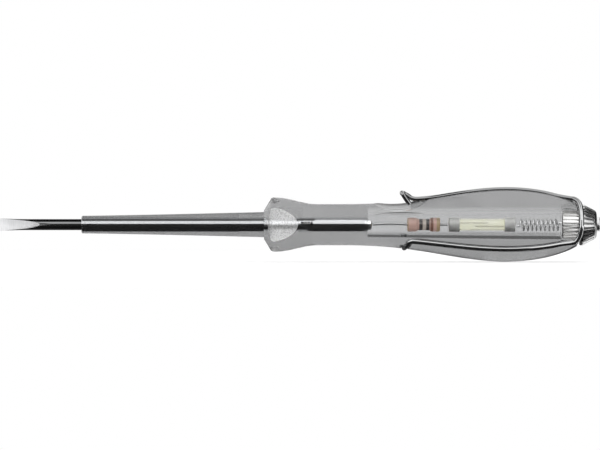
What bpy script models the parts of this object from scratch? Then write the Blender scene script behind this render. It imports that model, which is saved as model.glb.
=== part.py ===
"""Voltage tester screwdriver: a slotted blade in a clear handle, with a resistor, a neon lamp and
a spring in its bore, a screwed end cap with a touch button, and a wire pocket clip.

Metres, +Z up. +X is the tool's axis: the blade's tip is at x = 0 and the touch button at the other
end. Angles round the axis start at -Y, the side that is shown first, and grow towards +Z.
"""
import math

import bmesh
import bpy
from mathutils import Matrix, Vector

MM = 0.001

# Clearances
GAP = 0.3 * MM                  # between pieces that rest on each other
FINE_GAP = 0.12 * MM            # inside the small electrical pieces
THREAD_GAP = 0.1 * MM           # all round between the two threads
OVERRUN = 1.0 * MM              # how far a cutter runs past what it cuts

# Blade
TIP_WIDTH = 3.0 * MM
TIP_THICKNESS = 0.5 * MM
BLADE_RADIUS = 1.375 * MM
FLARE_LENGTH = 6.0 * MM
GRIND_LENGTH = 10.0 * MM
BLADE_END_CHAMFER = 0.3 * MM

# Insulating sleeve
BARE_LENGTH = 20.4 * MM
SLEEVE_SHOWN_LENGTH = 45.6 * MM
SLEEVE_SEAT_DEPTH = 9.0 * MM
SLEEVE_FRONT_WALL = 0.525 * MM
SLEEVE_REAR_WALL = 1.475 * MM
SLEEVE_EDGE_ROUND = 0.35 * MM
SLEEVE_SWELL_POWER = 1.25

# Handle, outside
HANDLE_LENGTH = 78.5 * MM
COLLAR_LIP_WALL = 0.15 * MM     # between the sleeve's pocket and the collar's front edge
COLLAR_CONE_RADIUS = 6.6 * MM
COLLAR_CONE_LENGTH = 1.8 * MM
COLLAR_RADIUS = 6.85 * MM
COLLAR_CROWN_AT = 2.5 * MM      # from the handle's front end, as the waist's two ends are
WAIST_FROM = 13.5 * MM
WAIST_TO = 19.0 * MM
WAIST_RADIUS = 5.15 * MM
BELLY_RADIUS = 9.25 * MM
BELLY_SWELL_POWER = 1.25
BELLY_TO_REAR = 18.0 * MM       # the rear is rounded off along an ellipse from the belly
ELLIPSE_BEYOND = 3.8 * MM       # that ellipse would close this far past the handle's end
FACET_DEPTH = 1.45 * MM
FACET_LENGTH = 6.0 * MM
FACET_COUNT = 3

# Scoop in the handle under the clip's nose
SCOOP_FORWARD = 4.4 * MM        # the scoop's deepest place lies this far before the clip's bend
SCOOP_DEPTH = 1.38 * MM
SCOOP_RADIUS = 15.0 * MM

# Handle, inside
BLADE_STANDOUT = 1.1 * MM       # the blade's rear end stands into the chamber
CHAMBER_CLEARANCE = 0.7 * MM    # round the widest piece, at the chamber's front
CHAMBER_DRAFT = 0.45 * MM       # the moulded chamber is this much wider at its rear
INSERT_RECESS = 0.2 * MM

# Resistor
RESISTOR_LENGTH = 8.25 * MM
RESISTOR_CORE_RADIUS = 1.0 * MM
RESISTOR_CAP_WALL = 0.2 * MM
RESISTOR_CAP_LENGTH = 1.9 * MM
LACQUER_THICKNESS = 0.31 * MM
LEAD_RADIUS = 0.3 * MM
FRONT_LEAD_LENGTH = 8.7 * MM
REAR_LEAD_LENGTH = 1.95 * MM

# Neon lamp
LAMP_LENGTH = 16.2 * MM
LAMP_GLASS_RADIUS = 1.5 * MM
LAMP_GLASS_WALL = 0.3 * MM
LAMP_CAP_WALL = 0.18 * MM
LAMP_CAP_LENGTH = 2.6 * MM
LAMP_NECK_LENGTH = 1.0 * MM
ELECTRODE_RADIUS = 0.22 * MM
ELECTRODE_OFFSET = 0.45 * MM
ELECTRODE_LENGTH = 9.4 * MM
ELECTRODE_BEND = 0.9 * MM

# Contact spring
SPRING_WIRE_RADIUS = 0.225 * MM
SPRING_RADIUS = 1.42 * MM
SPRING_LENGTH = 10.9 * MM
SPRING_CURLS = 9
CURL_POINTS = 10
SPRING_END_BEND = 0.4 * MM

# Screw thread of the end cap
THREAD_PITCH = 0.8 * MM
THREAD_DEPTH = 0.4 * MM
INSERT_LENGTH = 4.3 * MM
INSERT_WALL = 1.1 * MM
INSERT_RIB_DEPTH = 0.18 * MM
INSERT_CHAMFER = 0.3 * MM
SPIGOT_SETBACK = 0.2 * MM       # the spigot ends this far inside the insert's front
THREAD_ROWS_PER_TURN = 6
THREAD_STEPS = 20

# End cap
CAP_RADIUS = 5.2 * MM
CAP_LENGTH = 4.3 * MM
CAP_RIB_DEPTH = 0.28 * MM
RIB_COUNT = 24

# Touch button
BUTTON_RADIUS = 1.95 * MM
BUTTON_STANDOUT = 0.9 * MM
BUTTON_SINK = 0.5 * MM
BUTTON_EDGE_ROUND = 0.25 * MM
BUTTON_SHANK_RADIUS = 0.8 * MM
BUTTON_SHANK_LENGTH = 2.5 * MM

# Wire clip
CLIP_WIRE_RADIUS = 0.6 * MM
CLIP_MIDDLE_ANGLE = math.radians(16.5)
CLIP_HALF_SPREAD = math.radians(58.5)
CLIP_LENGTH = 41.8 * MM         # from the crossbar to the bend before the nose
CLIP_SINK = 0.15 * MM           # the wire's middle lies this far below the handle's surface
CLIP_REAR_STANDOFF = 0.7 * MM
CLIP_CORNER_DEPTH = 2.6 * MM
CLIP_CORNER_RISE = 0.65 * MM
CLIP_CORNER_POWER = 2.5
CLIP_REAR_BLEND = 3.6 * MM
CLIP_FRONT_BLEND = 4.6 * MM
CLIP_FRONT_RISE = 0.33 * MM
CLIP_HINGE_BACK = 1.0 * MM      # the arm flexes this far before the corner
NOSE_REACH = 2.95 * MM
NOSE_RISE = 1.7 * MM
NOSE_WIDTH = 1.4 * MM
NOSE_RETURN = 1.95 * MM
HOOK_FORWARD = 2.4 * MM         # the hook lies this far before the lower leg's end
HOOK_CORNER = 1.5 * MM          # radius of the bend from the lower leg into the hook
HOOK_BEND = 1.3 * MM            # radius of the bend that turns its end into the handle
HOOK_ANCHOR_DEPTH = 2.0 * MM
HOOK_SWEEP = math.radians(52.0)

# Places along the tool
HANDLE_FRONT = BARE_LENGTH + SLEEVE_SHOWN_LENGTH
HANDLE_REAR = HANDLE_FRONT + HANDLE_LENGTH
CROWN_X = HANDLE_FRONT + COLLAR_CROWN_AT
WAIST_FROM_X = HANDLE_FRONT + WAIST_FROM
WAIST_TO_X = HANDLE_FRONT + WAIST_TO
BELLY_X = HANDLE_REAR - BELLY_TO_REAR
CAP_FRONT = HANDLE_REAR + GAP
CAP_REAR = CAP_FRONT + CAP_LENGTH
INSERT_REAR = HANDLE_REAR - INSERT_RECESS
INSERT_FRONT = INSERT_REAR - INSERT_LENGTH
SPIGOT_FRONT = INSERT_FRONT + SPIGOT_SETBACK
SPRING_REAR = SPIGOT_FRONT - GAP
SPRING_FRONT = SPRING_REAR - SPRING_LENGTH
LAMP_REAR = SPRING_FRONT - GAP
LAMP_FRONT = LAMP_REAR - LAMP_LENGTH
RESISTOR_REAR = LAMP_FRONT - GAP - REAR_LEAD_LENGTH
RESISTOR_FRONT = RESISTOR_REAR - RESISTOR_LENGTH
BLADE_REAR = RESISTOR_FRONT - FRONT_LEAD_LENGTH - GAP
CHAMBER_FRONT = BLADE_REAR - BLADE_STANDOUT
BUTTON_FRONT = CAP_REAR - BUTTON_SINK
BUTTON_REAR = CAP_REAR + BUTTON_STANDOUT
CLIP_REAR = HANDLE_REAR + CLIP_REAR_STANDOFF
CLIP_FRONT = CLIP_REAR - CLIP_LENGTH
SCOOP_X = CLIP_FRONT - SCOOP_FORWARD

# Radii that follow from what goes inside what
RESISTOR_CAP_INNER_RADIUS = RESISTOR_CORE_RADIUS + FINE_GAP
RESISTOR_CAP_RADIUS = RESISTOR_CAP_INNER_RADIUS + RESISTOR_CAP_WALL
RESISTOR_END_RADIUS = RESISTOR_CAP_RADIUS + FINE_GAP + LACQUER_THICKNESS
RESISTOR_MIDDLE_RADIUS = RESISTOR_CORE_RADIUS + FINE_GAP + LACQUER_THICKNESS
LAMP_CAP_INNER_RADIUS = LAMP_GLASS_RADIUS + FINE_GAP
LAMP_RADIUS = LAMP_CAP_INNER_RADIUS + LAMP_CAP_WALL
SPRING_OUTER_RADIUS = SPRING_RADIUS + SPRING_WIRE_RADIUS
WIDEST_INSIDE = max(BLADE_RADIUS, RESISTOR_END_RADIUS, LAMP_RADIUS, SPRING_OUTER_RADIUS)
CHAMBER_FRONT_RADIUS = WIDEST_INSIDE + CHAMBER_CLEARANCE
CHAMBER_REAR_RADIUS = CHAMBER_FRONT_RADIUS + CHAMBER_DRAFT
SPIGOT_ROOT_RADIUS = WIDEST_INSIDE + GAP
SPIGOT_CREST_RADIUS = SPIGOT_ROOT_RADIUS + THREAD_DEPTH
INSERT_RADIUS = SPIGOT_CREST_RADIUS + INSERT_WALL
INSERT_POCKET_RADIUS = INSERT_RADIUS + GAP
BLADE_BORE_RADIUS = BLADE_RADIUS + GAP
SLEEVE_FRONT_RADIUS = BLADE_BORE_RADIUS + SLEEVE_FRONT_WALL
SLEEVE_REAR_RADIUS = BLADE_BORE_RADIUS + SLEEVE_REAR_WALL
SLEEVE_POCKET_RADIUS = SLEEVE_REAR_RADIUS + GAP
COLLAR_FRONT_RADIUS = SLEEVE_POCKET_RADIUS + COLLAR_LIP_WALL
REAR_TAPER_LENGTH = BELLY_TO_REAR + ELLIPSE_BEYOND
CLIP_BAR_RADIUS = CAP_RADIUS + GAP + CLIP_WIRE_RADIUS
GROOVE_RADIUS = CLIP_WIRE_RADIUS + GAP
UPPER_LEG_ANGLE = CLIP_MIDDLE_ANGLE + CLIP_HALF_SPREAD
LOWER_LEG_ANGLE = CLIP_MIDDLE_ANGLE - CLIP_HALF_SPREAD

AXIS = Vector((1, 0, 0))


# Basic tools

def clear_scene():
    for old in list(bpy.data.objects):
        bpy.data.objects.remove(old, do_unlink=True)


def finish(name, colour, roughness, metallic=0.0, alpha=1.0):
    """A material of one plain finish."""
    material = bpy.data.materials.new(name)
    material.use_nodes = True
    shader = material.node_tree.nodes["Principled BSDF"]
    shader.inputs["Base Color"].default_value = (*colour, 1.0)
    shader.inputs["Roughness"].default_value = roughness
    shader.inputs["Metallic"].default_value = metallic
    shader.inputs["Alpha"].default_value = alpha
    return material


def add_object(name, data, material=None, sharp_angle=35.0):
    """Links a mesh or a curve as a named object, shaded smooth up to an angle."""
    thing = bpy.data.objects.new(name, data)
    bpy.context.scene.collection.objects.link(thing)
    if material:
        data.materials.append(material)
    if thing.type == "MESH":
        data.shade_smooth()
        data.set_sharp_from_angle(angle=math.radians(sharp_angle))
    return thing


def mesh_from(bm, name):
    """Turns a bmesh into a mesh whose faces point outwards."""
    bmesh.ops.recalc_face_normals(bm, faces=bm.faces)
    mesh = bpy.data.meshes.new(name)
    bm.to_mesh(mesh)
    bm.free()
    return mesh


def turned(outline, steps):
    """Spins an outline of (x, radius) points round the tool's axis.

    An outline that starts and ends on the axis makes a solid. Any other one is closed first and
    makes a ring.
    """
    bm = bmesh.new()
    points = [bm.verts.new((x, 0, radius)) for x, radius in outline]
    edges = [bm.edges.new(pair) for pair in zip(points, points[1:])]
    if outline[0][1] > 0:
        edges.append(bm.edges.new((points[-1], points[0])))
    bmesh.ops.spin(bm, geom=points + edges, cent=(0, 0, 0), axis=AXIS,
                   angle=math.tau, steps=steps, use_merge=True)
    bmesh.ops.remove_doubles(bm, verts=bm.verts, dist=FINE_GAP / 1000)
    return bm


def stations(start, end, count):
    """Evenly spaced places from start to end, both included."""
    return [start + (end - start) * i / count for i in range(count + 1)]


def smooth_step(share):
    """Rises from 0 to 1 with a level start and a level end."""
    share = min(max(share, 0.0), 1.0)
    return (1 - math.cos(math.pi * share)) / 2


def around(x, radius, angle, side=0.0):
    """The point at an angle round the tool's axis, moved sideways towards smaller angles."""
    y = -radius * math.cos(angle) - side * math.sin(angle)
    z = radius * math.sin(angle) - side * math.cos(angle)
    return Vector((x, y, z))


def smooth_path(knots, count):
    """A smooth curve through the knots, with count points to each span."""
    before = knots[0] * 2 - knots[1]
    after = knots[-1] * 2 - knots[-2]
    guide = [before] + knots + [after]
    path = []
    for a, b, c, d in zip(guide, guide[1:], guide[2:], guide[3:]):
        for i in range(count):
            t = i / count
            path.append((b * 2 + (c - a) * t + (a * 2 - b * 5 + c * 4 - d) * t ** 2
                         + (b * 3 - a - c * 3 + d) * t ** 3) / 2)
    path.append(knots[-1])
    return path


def tube_curve(name, path, radius, resolution, origin=Vector()):
    """A round wire along a path, as a curve with a bevel and filled ends."""
    curve = bpy.data.curves.new(name, "CURVE")
    curve.dimensions = "3D"
    curve.bevel_depth = radius
    curve.bevel_resolution = resolution
    curve.use_fill_caps = True
    spline = curve.splines.new("POLY")
    spline.points.add(len(path) - 1)
    for point, place in zip(spline.points, path):
        point.co = (*(place - origin), 1.0)
    return curve


def make_cutter(name, mesh):
    """A hidden wire-frame object that only cuts or joins."""
    cutter = add_object(name, mesh)
    cutter.hide_render = True
    cutter.display_type = "WIRE"
    return cutter


def combine(target, tool, operation):
    """Cuts or joins a helper object with a Boolean."""
    modifier = target.modifiers.new(tool.name, "BOOLEAN")
    modifier.operation = operation
    modifier.solver = "EXACT"
    modifier.object = tool


def cut_flat(bm, place, normal):
    """Slices off what lies beyond a plane and closes the cut."""
    whole = list(bm.verts) + list(bm.edges) + list(bm.faces)
    result = bmesh.ops.bisect_plane(bm, geom=whole, plane_co=place, plane_no=normal,
                                    clear_outer=True)
    edges = [item for item in result["geom_cut"] if isinstance(item, bmesh.types.BMEdge)]
    bmesh.ops.edgeloop_fill(bm, edges=edges)


def rib_height(index, per_rib):
    """1 on a rib's crest and 0 in the groove, for the points round a ribbed piece."""
    return 1.0 if index % per_rib < per_rib / 2 else 0.0


def add_ribs(bm, steps, depth, first, last, core):
    """Sinks every second pair of points between two places and outside a core radius."""
    per_rib = steps // RIB_COUNT
    for vert in bm.verts:
        x, y, z = vert.co
        radius = math.hypot(y, z)
        if radius > core and first < x < last:
            index = round(math.atan2(y, z) / math.tau * steps) % steps
            scale = 1 - depth * (1 - rib_height(index, per_rib)) / radius
            vert.co = (x, y * scale, z * scale)


# Blade and sleeve

def make_blade(metal):
    """A round bar, a little flared at the tip and ground flat on two sides."""
    steps = 32
    outline = [(0, 0), (0, BLADE_RADIUS)]
    outline += [(x, BLADE_RADIUS) for x in stations(0, FLARE_LENGTH, 4)[1:]]
    outline += [(GRIND_LENGTH, BLADE_RADIUS), (BLADE_REAR - BLADE_END_CHAMFER, BLADE_RADIUS)]
    outline += [(BLADE_REAR, BLADE_RADIUS - BLADE_END_CHAMFER), (BLADE_REAR, 0)]
    bm = turned(outline, steps)
    widest = TIP_WIDTH / 2 / BLADE_RADIUS
    for vert in bm.verts:
        share = 1 - min(vert.co.x / FLARE_LENGTH, 1.0)
        vert.co.z *= 1 + (widest - 1) * smooth_step(share)
    slope = math.atan2(BLADE_RADIUS - TIP_THICKNESS / 2, GRIND_LENGTH)
    for side in (-1, 1):
        place = (0, side * TIP_THICKNESS / 2, 0)
        cut_flat(bm, place, (-math.sin(slope), side * math.cos(slope), 0))
    add_object("blade", mesh_from(bm, "blade"), metal)


def sleeve_radius(x):
    """The sleeve swells slowly towards the handle and is straight inside it."""
    share = min(max((x - BARE_LENGTH) / SLEEVE_SHOWN_LENGTH, 0.0), 1.0)
    swell = share ** SLEEVE_SWELL_POWER
    return SLEEVE_FRONT_RADIUS + (SLEEVE_REAR_RADIUS - SLEEVE_FRONT_RADIUS) * swell


def make_sleeve(plastic):
    """A tapered tube over the blade that ends inside the collar."""
    rear = HANDLE_FRONT + SLEEVE_SEAT_DEPTH
    edge = BARE_LENGTH + SLEEVE_EDGE_ROUND
    outline = [(BARE_LENGTH, BLADE_BORE_RADIUS)]
    for angle in stations(0, math.pi / 2, 3):
        outline.append((edge - SLEEVE_EDGE_ROUND * math.cos(angle),
                        sleeve_radius(edge) - SLEEVE_EDGE_ROUND * (1 - math.sin(angle))))
    outline += [(x, sleeve_radius(x)) for x in stations(edge, HANDLE_FRONT, 6)[1:]]
    outline += [(rear, sleeve_radius(rear)), (rear, BLADE_BORE_RADIUS)]
    add_object("blade_sleeve", mesh_from(turned(outline, 28), "blade_sleeve"), plastic)


# Handle

def handle_radius(x):
    """Radius of the handle's outside, before facets, scoop and grooves."""
    cone_x = HANDLE_FRONT + COLLAR_CONE_LENGTH
    if x <= cone_x:
        share = (x - HANDLE_FRONT) / COLLAR_CONE_LENGTH
        return COLLAR_FRONT_RADIUS + (COLLAR_CONE_RADIUS - COLLAR_FRONT_RADIUS) * share
    if x <= CROWN_X:
        share = (x - cone_x) / (CROWN_X - cone_x)
        return COLLAR_CONE_RADIUS + (COLLAR_RADIUS - COLLAR_CONE_RADIUS) * math.sin(share * math.pi / 2)
    if x <= WAIST_TO_X:
        share = (x - CROWN_X) / (WAIST_FROM_X - CROWN_X)
        return COLLAR_RADIUS + (WAIST_RADIUS - COLLAR_RADIUS) * smooth_step(share)
    if x <= BELLY_X:
        share = ((x - WAIST_TO_X) / (BELLY_X - WAIST_TO_X)) ** BELLY_SWELL_POWER
        return WAIST_RADIUS + (BELLY_RADIUS - WAIST_RADIUS) * smooth_step(share)
    share = (x - BELLY_X) / REAR_TAPER_LENGTH
    return BELLY_RADIUS * math.sqrt(max(1 - share ** 2, 0.0))


def handle_outline():
    """The outside from front to rear, and back to the front along the bores."""
    cone_x = HANDLE_FRONT + COLLAR_CONE_LENGTH
    places = [HANDLE_FRONT]
    places += stations(cone_x, CROWN_X, 2)
    places += stations(CROWN_X, WAIST_FROM_X, 7)[1:]
    places += stations(WAIST_FROM_X, WAIST_TO_X, 1)[1:]
    places += stations(WAIST_TO_X, BELLY_X, 11)[1:]
    taper = math.asin(BELLY_TO_REAR / REAR_TAPER_LENGTH)
    places += [BELLY_X + REAR_TAPER_LENGTH * math.sin(angle) for angle in stations(0, taper, 8)[1:]]
    outline = [(x, handle_radius(x)) for x in places]
    pocket_floor = INSERT_FRONT - GAP
    sleeve_floor = HANDLE_FRONT + SLEEVE_SEAT_DEPTH + GAP
    outline += [(HANDLE_REAR, INSERT_POCKET_RADIUS), (pocket_floor, INSERT_POCKET_RADIUS)]
    outline += [(pocket_floor, CHAMBER_REAR_RADIUS), (CHAMBER_FRONT, CHAMBER_FRONT_RADIUS)]
    outline += [(CHAMBER_FRONT, BLADE_BORE_RADIUS), (sleeve_floor, BLADE_BORE_RADIUS)]
    outline += [(sleeve_floor, SLEEVE_POCKET_RADIUS), (HANDLE_FRONT, SLEEVE_POCKET_RADIUS)]
    return outline


def scoop_middle():
    """Distance from the tool's axis to the middle of the drum that cuts the scoop."""
    return handle_radius(SCOOP_X) - SCOOP_DEPTH + SCOOP_RADIUS


def scoop_floor(x):
    """Height of the scoop's floor over the tool's axis, towards the clip's upper leg."""
    return scoop_middle() - math.sqrt(SCOOP_RADIUS ** 2 - (x - SCOOP_X) ** 2)


def make_scoop_cutter():
    """A drum that lies across the handle under the clip's nose."""
    bm = bmesh.new()
    middle = around(SCOOP_X, scoop_middle(), UPPER_LEG_ANGLE)
    across = around(0, 0, UPPER_LEG_ANGLE, 1.0)
    upright = Matrix((AXIS, across.cross(AXIS), across)).transposed().to_4x4()
    bmesh.ops.create_cone(bm, cap_ends=True, segments=96, radius1=SCOOP_RADIUS,
                          radius2=SCOOP_RADIUS, depth=2 * BELLY_RADIUS,
                          matrix=Matrix.Translation(middle) @ upright)
    return make_cutter("scoop_cutter", mesh_from(bm, "scoop_cutter"))


def make_groove_cutter(route):
    """A thicker wire along the clip, with its end caps welded on."""
    guide = add_object("groove_guide", tube_curve("groove_guide", route, GROOVE_RADIUS, 2))
    bm = bmesh.new()
    bm.from_mesh(bpy.data.meshes.new_from_object(guide))
    bpy.data.objects.remove(guide)
    bmesh.ops.remove_doubles(bm, verts=bm.verts, dist=FINE_GAP / 1000)
    return make_cutter("groove_cutter", mesh_from(bm, "groove_cutter"))


def make_handle(plastic, groove_route):
    """The clear moulding: turned shape, three facets, the scoop and the clip's grooves."""
    bm = turned(handle_outline(), 48)
    facet_front = COLLAR_RADIUS - FACET_DEPTH
    facet_rise = handle_radius(CROWN_X + FACET_LENGTH) - facet_front
    slope = math.atan2(facet_rise, FACET_LENGTH)
    for index in range(FACET_COUNT):
        angle = math.tau * index / FACET_COUNT
        normal = around(-math.sin(slope), math.cos(slope), angle)
        cut_flat(bm, around(CROWN_X, facet_front, angle), normal)
    handle = add_object("handle", mesh_from(bm, "handle"), plastic, sharp_angle=22.0)
    combine(handle, make_scoop_cutter(), "DIFFERENCE")
    combine(handle, make_groove_cutter(groove_route), "DIFFERENCE")


# Resistor

def make_resistor(lacquer, ceramic, plated, tinned):
    """A ceramic rod with a metal cup and a lead at each end, under a coat of lacquer."""
    shell_end = FINE_GAP + LACQUER_THICKNESS
    cup_wall = RESISTOR_CAP_WALL
    hole = LEAD_RADIUS + FINE_GAP
    round_share = 0.3
    rounding = LACQUER_THICKNESS * round_share
    coat = []
    neck = RESISTOR_CAP_LENGTH + shell_end
    for mirror in (False, True):
        half = [(0, hole), (0, RESISTOR_END_RADIUS - LACQUER_THICKNESS)]
        half += [(rounding, RESISTOR_END_RADIUS - rounding)]
        half += [(LACQUER_THICKNESS, RESISTOR_END_RADIUS), (neck - cup_wall, RESISTOR_END_RADIUS)]
        half += [(neck + cup_wall, RESISTOR_MIDDLE_RADIUS + cup_wall)]
        half += [(neck + 2 * cup_wall, RESISTOR_MIDDLE_RADIUS)]
        if mirror:
            half = [(RESISTOR_LENGTH - x, radius) for x, radius in reversed(half)]
        coat += half
    bore = RESISTOR_CAP_INNER_RADIUS
    cup_room = RESISTOR_CAP_RADIUS + FINE_GAP
    for mirror in (True, False):
        half = [(LACQUER_THICKNESS, hole), (LACQUER_THICKNESS, cup_room)]
        half += [(neck - cup_wall, cup_room), (neck - cup_wall, bore)]
        if mirror:
            half = [(RESISTOR_LENGTH - x, radius) for x, radius in half]
        else:
            half = list(reversed(half))
        coat += half
    coat = [(RESISTOR_FRONT + x, radius) for x, radius in coat]
    add_object("resistor_coat", mesh_from(turned(coat, 20), "resistor_coat"), lacquer)

    core_ends = (RESISTOR_FRONT + shell_end + cup_wall + FINE_GAP,
                 RESISTOR_REAR - shell_end - cup_wall - FINE_GAP)
    core = [(core_ends[0], 0), (core_ends[0], RESISTOR_CORE_RADIUS)]
    core += [(core_ends[1], RESISTOR_CORE_RADIUS), (core_ends[1], 0)]
    add_object("resistor_core", mesh_from(turned(core, 20), "resistor_core"), ceramic)

    for name, closed_end, way in (("resistor_front_cap", RESISTOR_FRONT + shell_end, 1),
                                  ("resistor_rear_cap", RESISTOR_REAR - shell_end, -1)):
        rim = closed_end + way * (RESISTOR_CAP_LENGTH - 2 * cup_wall)
        floor = closed_end + way * cup_wall
        cup = [(closed_end, 0), (closed_end, RESISTOR_CAP_RADIUS), (rim, RESISTOR_CAP_RADIUS)]
        cup += [(rim, RESISTOR_CAP_INNER_RADIUS), (floor, RESISTOR_CAP_INNER_RADIUS), (floor, 0)]
        add_object(name, mesh_from(turned(cup, 24), name), plated)

    reach = shell_end - FINE_GAP
    leads = (("resistor_front_lead", RESISTOR_FRONT - FRONT_LEAD_LENGTH, RESISTOR_FRONT + reach),
             ("resistor_rear_lead", RESISTOR_REAR - reach, RESISTOR_REAR + REAR_LEAD_LENGTH))
    for name, front, rear in leads:
        rod = [(front, 0), (front, LEAD_RADIUS), (rear, LEAD_RADIUS), (rear, 0)]
        add_object(name, mesh_from(turned(rod, 12), name), tinned)


# Neon lamp

def make_lamp(glass, plated, electrode_metal):
    """A glass tube with necked ends, a metal cap on each end and two electrodes side by side."""
    cap_floor = LAMP_CAP_WALL + FINE_GAP
    front = LAMP_FRONT + cap_floor
    rear = LAMP_REAR - cap_floor
    neck_hole = ELECTRODE_RADIUS + FINE_GAP
    neck_outer = neck_hole + LAMP_GLASS_WALL
    inner = LAMP_GLASS_RADIUS - LAMP_GLASS_WALL
    shoulder = front + LAMP_NECK_LENGTH
    far_shoulder = rear - LAMP_NECK_LENGTH
    necks = (front + LAMP_NECK_LENGTH / 2, rear - LAMP_NECK_LENGTH / 2)
    neck_swell = neck_outer + LAMP_GLASS_WALL
    outline = [(front, neck_hole), (front, neck_outer), (necks[0], neck_swell)]
    outline += [(shoulder, LAMP_GLASS_RADIUS), (far_shoulder, LAMP_GLASS_RADIUS)]
    outline += [(necks[1], neck_swell), (rear, neck_outer), (rear, neck_hole)]
    outline += [(necks[1], neck_hole), (far_shoulder, inner), (shoulder, inner)]
    outline += [(necks[0], neck_hole)]
    add_object("lamp_glass", mesh_from(turned(outline, 24), "lamp_glass"), glass)

    for name, face, way in (("lamp_front_cap", LAMP_FRONT, 1), ("lamp_rear_cap", LAMP_REAR, -1)):
        rim = face + way * LAMP_CAP_LENGTH
        floor = face + way * LAMP_CAP_WALL
        edge = face + way * LAMP_CAP_WALL / 2
        cup = [(face, 0), (face, LAMP_RADIUS - LAMP_CAP_WALL / 2), (edge, LAMP_RADIUS)]
        cup += [(rim, LAMP_RADIUS), (rim, LAMP_CAP_INNER_RADIUS)]
        cup += [(floor, LAMP_CAP_INNER_RADIUS), (floor, 0)]
        add_object(name, mesh_from(turned(cup, 24), name), plated)

    for name, start, way, side in (("lamp_front_electrode", front, 1, 1),
                                   ("lamp_rear_electrode", rear, -1, -1)):
        straight = start + way * LAMP_NECK_LENGTH
        bent = straight + way * ELECTRODE_BEND
        shift = side * ELECTRODE_OFFSET
        knots = [Vector((start, 0, 0)), Vector((straight, 0, 0)), Vector((bent, 0, shift))]
        knots += [Vector((start + way * ELECTRODE_LENGTH, 0, shift))]
        wire = tube_curve(name, knots, ELECTRODE_RADIUS, 2)
        add_object(name, wire, electrode_metal)


# Contact spring

def spring_path(front, rear):
    """One helix whose two ends turn into the tool's direction and run straight."""
    straight = 2 * SPRING_WIRE_RADIUS
    first = front + straight + SPRING_END_BEND
    last = rear - straight - SPRING_END_BEND
    count = SPRING_CURLS * CURL_POINTS
    path = []
    for i in range(count + 1):
        turn = math.tau * i / CURL_POINTS
        path.append(around(first + (last - first) * i / count, SPRING_RADIUS, turn))
    for end, way, turn in ((0, -1, 0.0), (-1, 1, math.tau * SPRING_CURLS)):
        tangent = around(0, 0, turn, -1.0) * way
        corner = path[end].copy()
        bend = []
        for angle in (math.pi / 6, math.pi / 3, math.pi / 2):
            bend.append(corner + tangent * SPRING_END_BEND * math.sin(angle)
                        + AXIS * way * SPRING_END_BEND * (1 - math.cos(angle)))
        bend.append(bend[-1] + AXIS * way * straight)
        path = list(reversed(bend)) + path if way < 0 else path + bend
    return path


def least_gap(path, radius):
    """The smallest distance between two stretches of a wire, surface to surface."""
    apart = CURL_POINTS // 2
    distances = [(point - other).length
                 for i, point in enumerate(path) for other in path[i + apart:]]
    return min(distances) - 2 * radius


def make_spring(steel):
    path = spring_path(SPRING_FRONT, SPRING_REAR)
    gap = least_gap(path, SPRING_WIRE_RADIUS)
    print("contact_spring least gap to itself, mm:", round(gap / MM, 3))
    wire = tube_curve("contact_spring", path, SPRING_WIRE_RADIUS, 1)
    add_object("contact_spring", wire, steel)


# Threaded insert, end cap and touch button

def threaded_rod(front, rear, root, crest, fade_to_crest):
    """A solid rod with a rounded helical thread that fades out at its front end."""
    rows = round((rear - front) / THREAD_PITCH * THREAD_ROWS_PER_TURN)
    outline = [(front, 0)] + [(x, root) for x in stations(front, rear, rows)] + [(rear, 0)]
    bm = turned(outline, THREAD_STEPS)
    for vert in bm.verts:
        x, y, z = vert.co
        radius = math.hypot(y, z)
        if radius > root / 2:
            phase = math.tau * (x - CAP_FRONT) / THREAD_PITCH + math.atan2(z, -y)
            height = (1 + math.cos(phase)) / 2
            fade = min((x - front) / THREAD_PITCH, 1.0)
            height = 1 - (1 - height) * fade if fade_to_crest else height * fade
            scale = (root + (crest - root) * height) / radius
            vert.co = (x, y * scale, z * scale)
    return bm


def make_insert(brass):
    """A knurled bush, moulded into the handle, that holds the end cap's thread."""
    steps = 4 * RIB_COUNT
    bore = SPIGOT_ROOT_RADIUS - THREAD_GAP
    chamfered = INSERT_RADIUS - INSERT_CHAMFER
    outline = [(INSERT_FRONT, bore), (INSERT_FRONT, chamfered)]
    outline += [(INSERT_FRONT + INSERT_CHAMFER, INSERT_RADIUS)]
    outline += [(INSERT_REAR - INSERT_CHAMFER, INSERT_RADIUS)]
    outline += [(INSERT_REAR, chamfered), (INSERT_REAR, bore)]
    bm = turned(outline, steps)
    half_chamfer = INSERT_CHAMFER / 2
    add_ribs(bm, steps, INSERT_RIB_DEPTH, INSERT_FRONT + half_chamfer, INSERT_REAR - half_chamfer,
             SPIGOT_CREST_RADIUS)
    insert = add_object("threaded_insert", mesh_from(bm, "threaded_insert"), brass)
    tap = threaded_rod(INSERT_FRONT - OVERRUN, INSERT_REAR + OVERRUN,
                       SPIGOT_ROOT_RADIUS + THREAD_GAP, SPIGOT_CREST_RADIUS + THREAD_GAP, True)
    combine(insert, make_cutter("thread_tap", mesh_from(tap, "thread_tap")), "DIFFERENCE")


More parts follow.
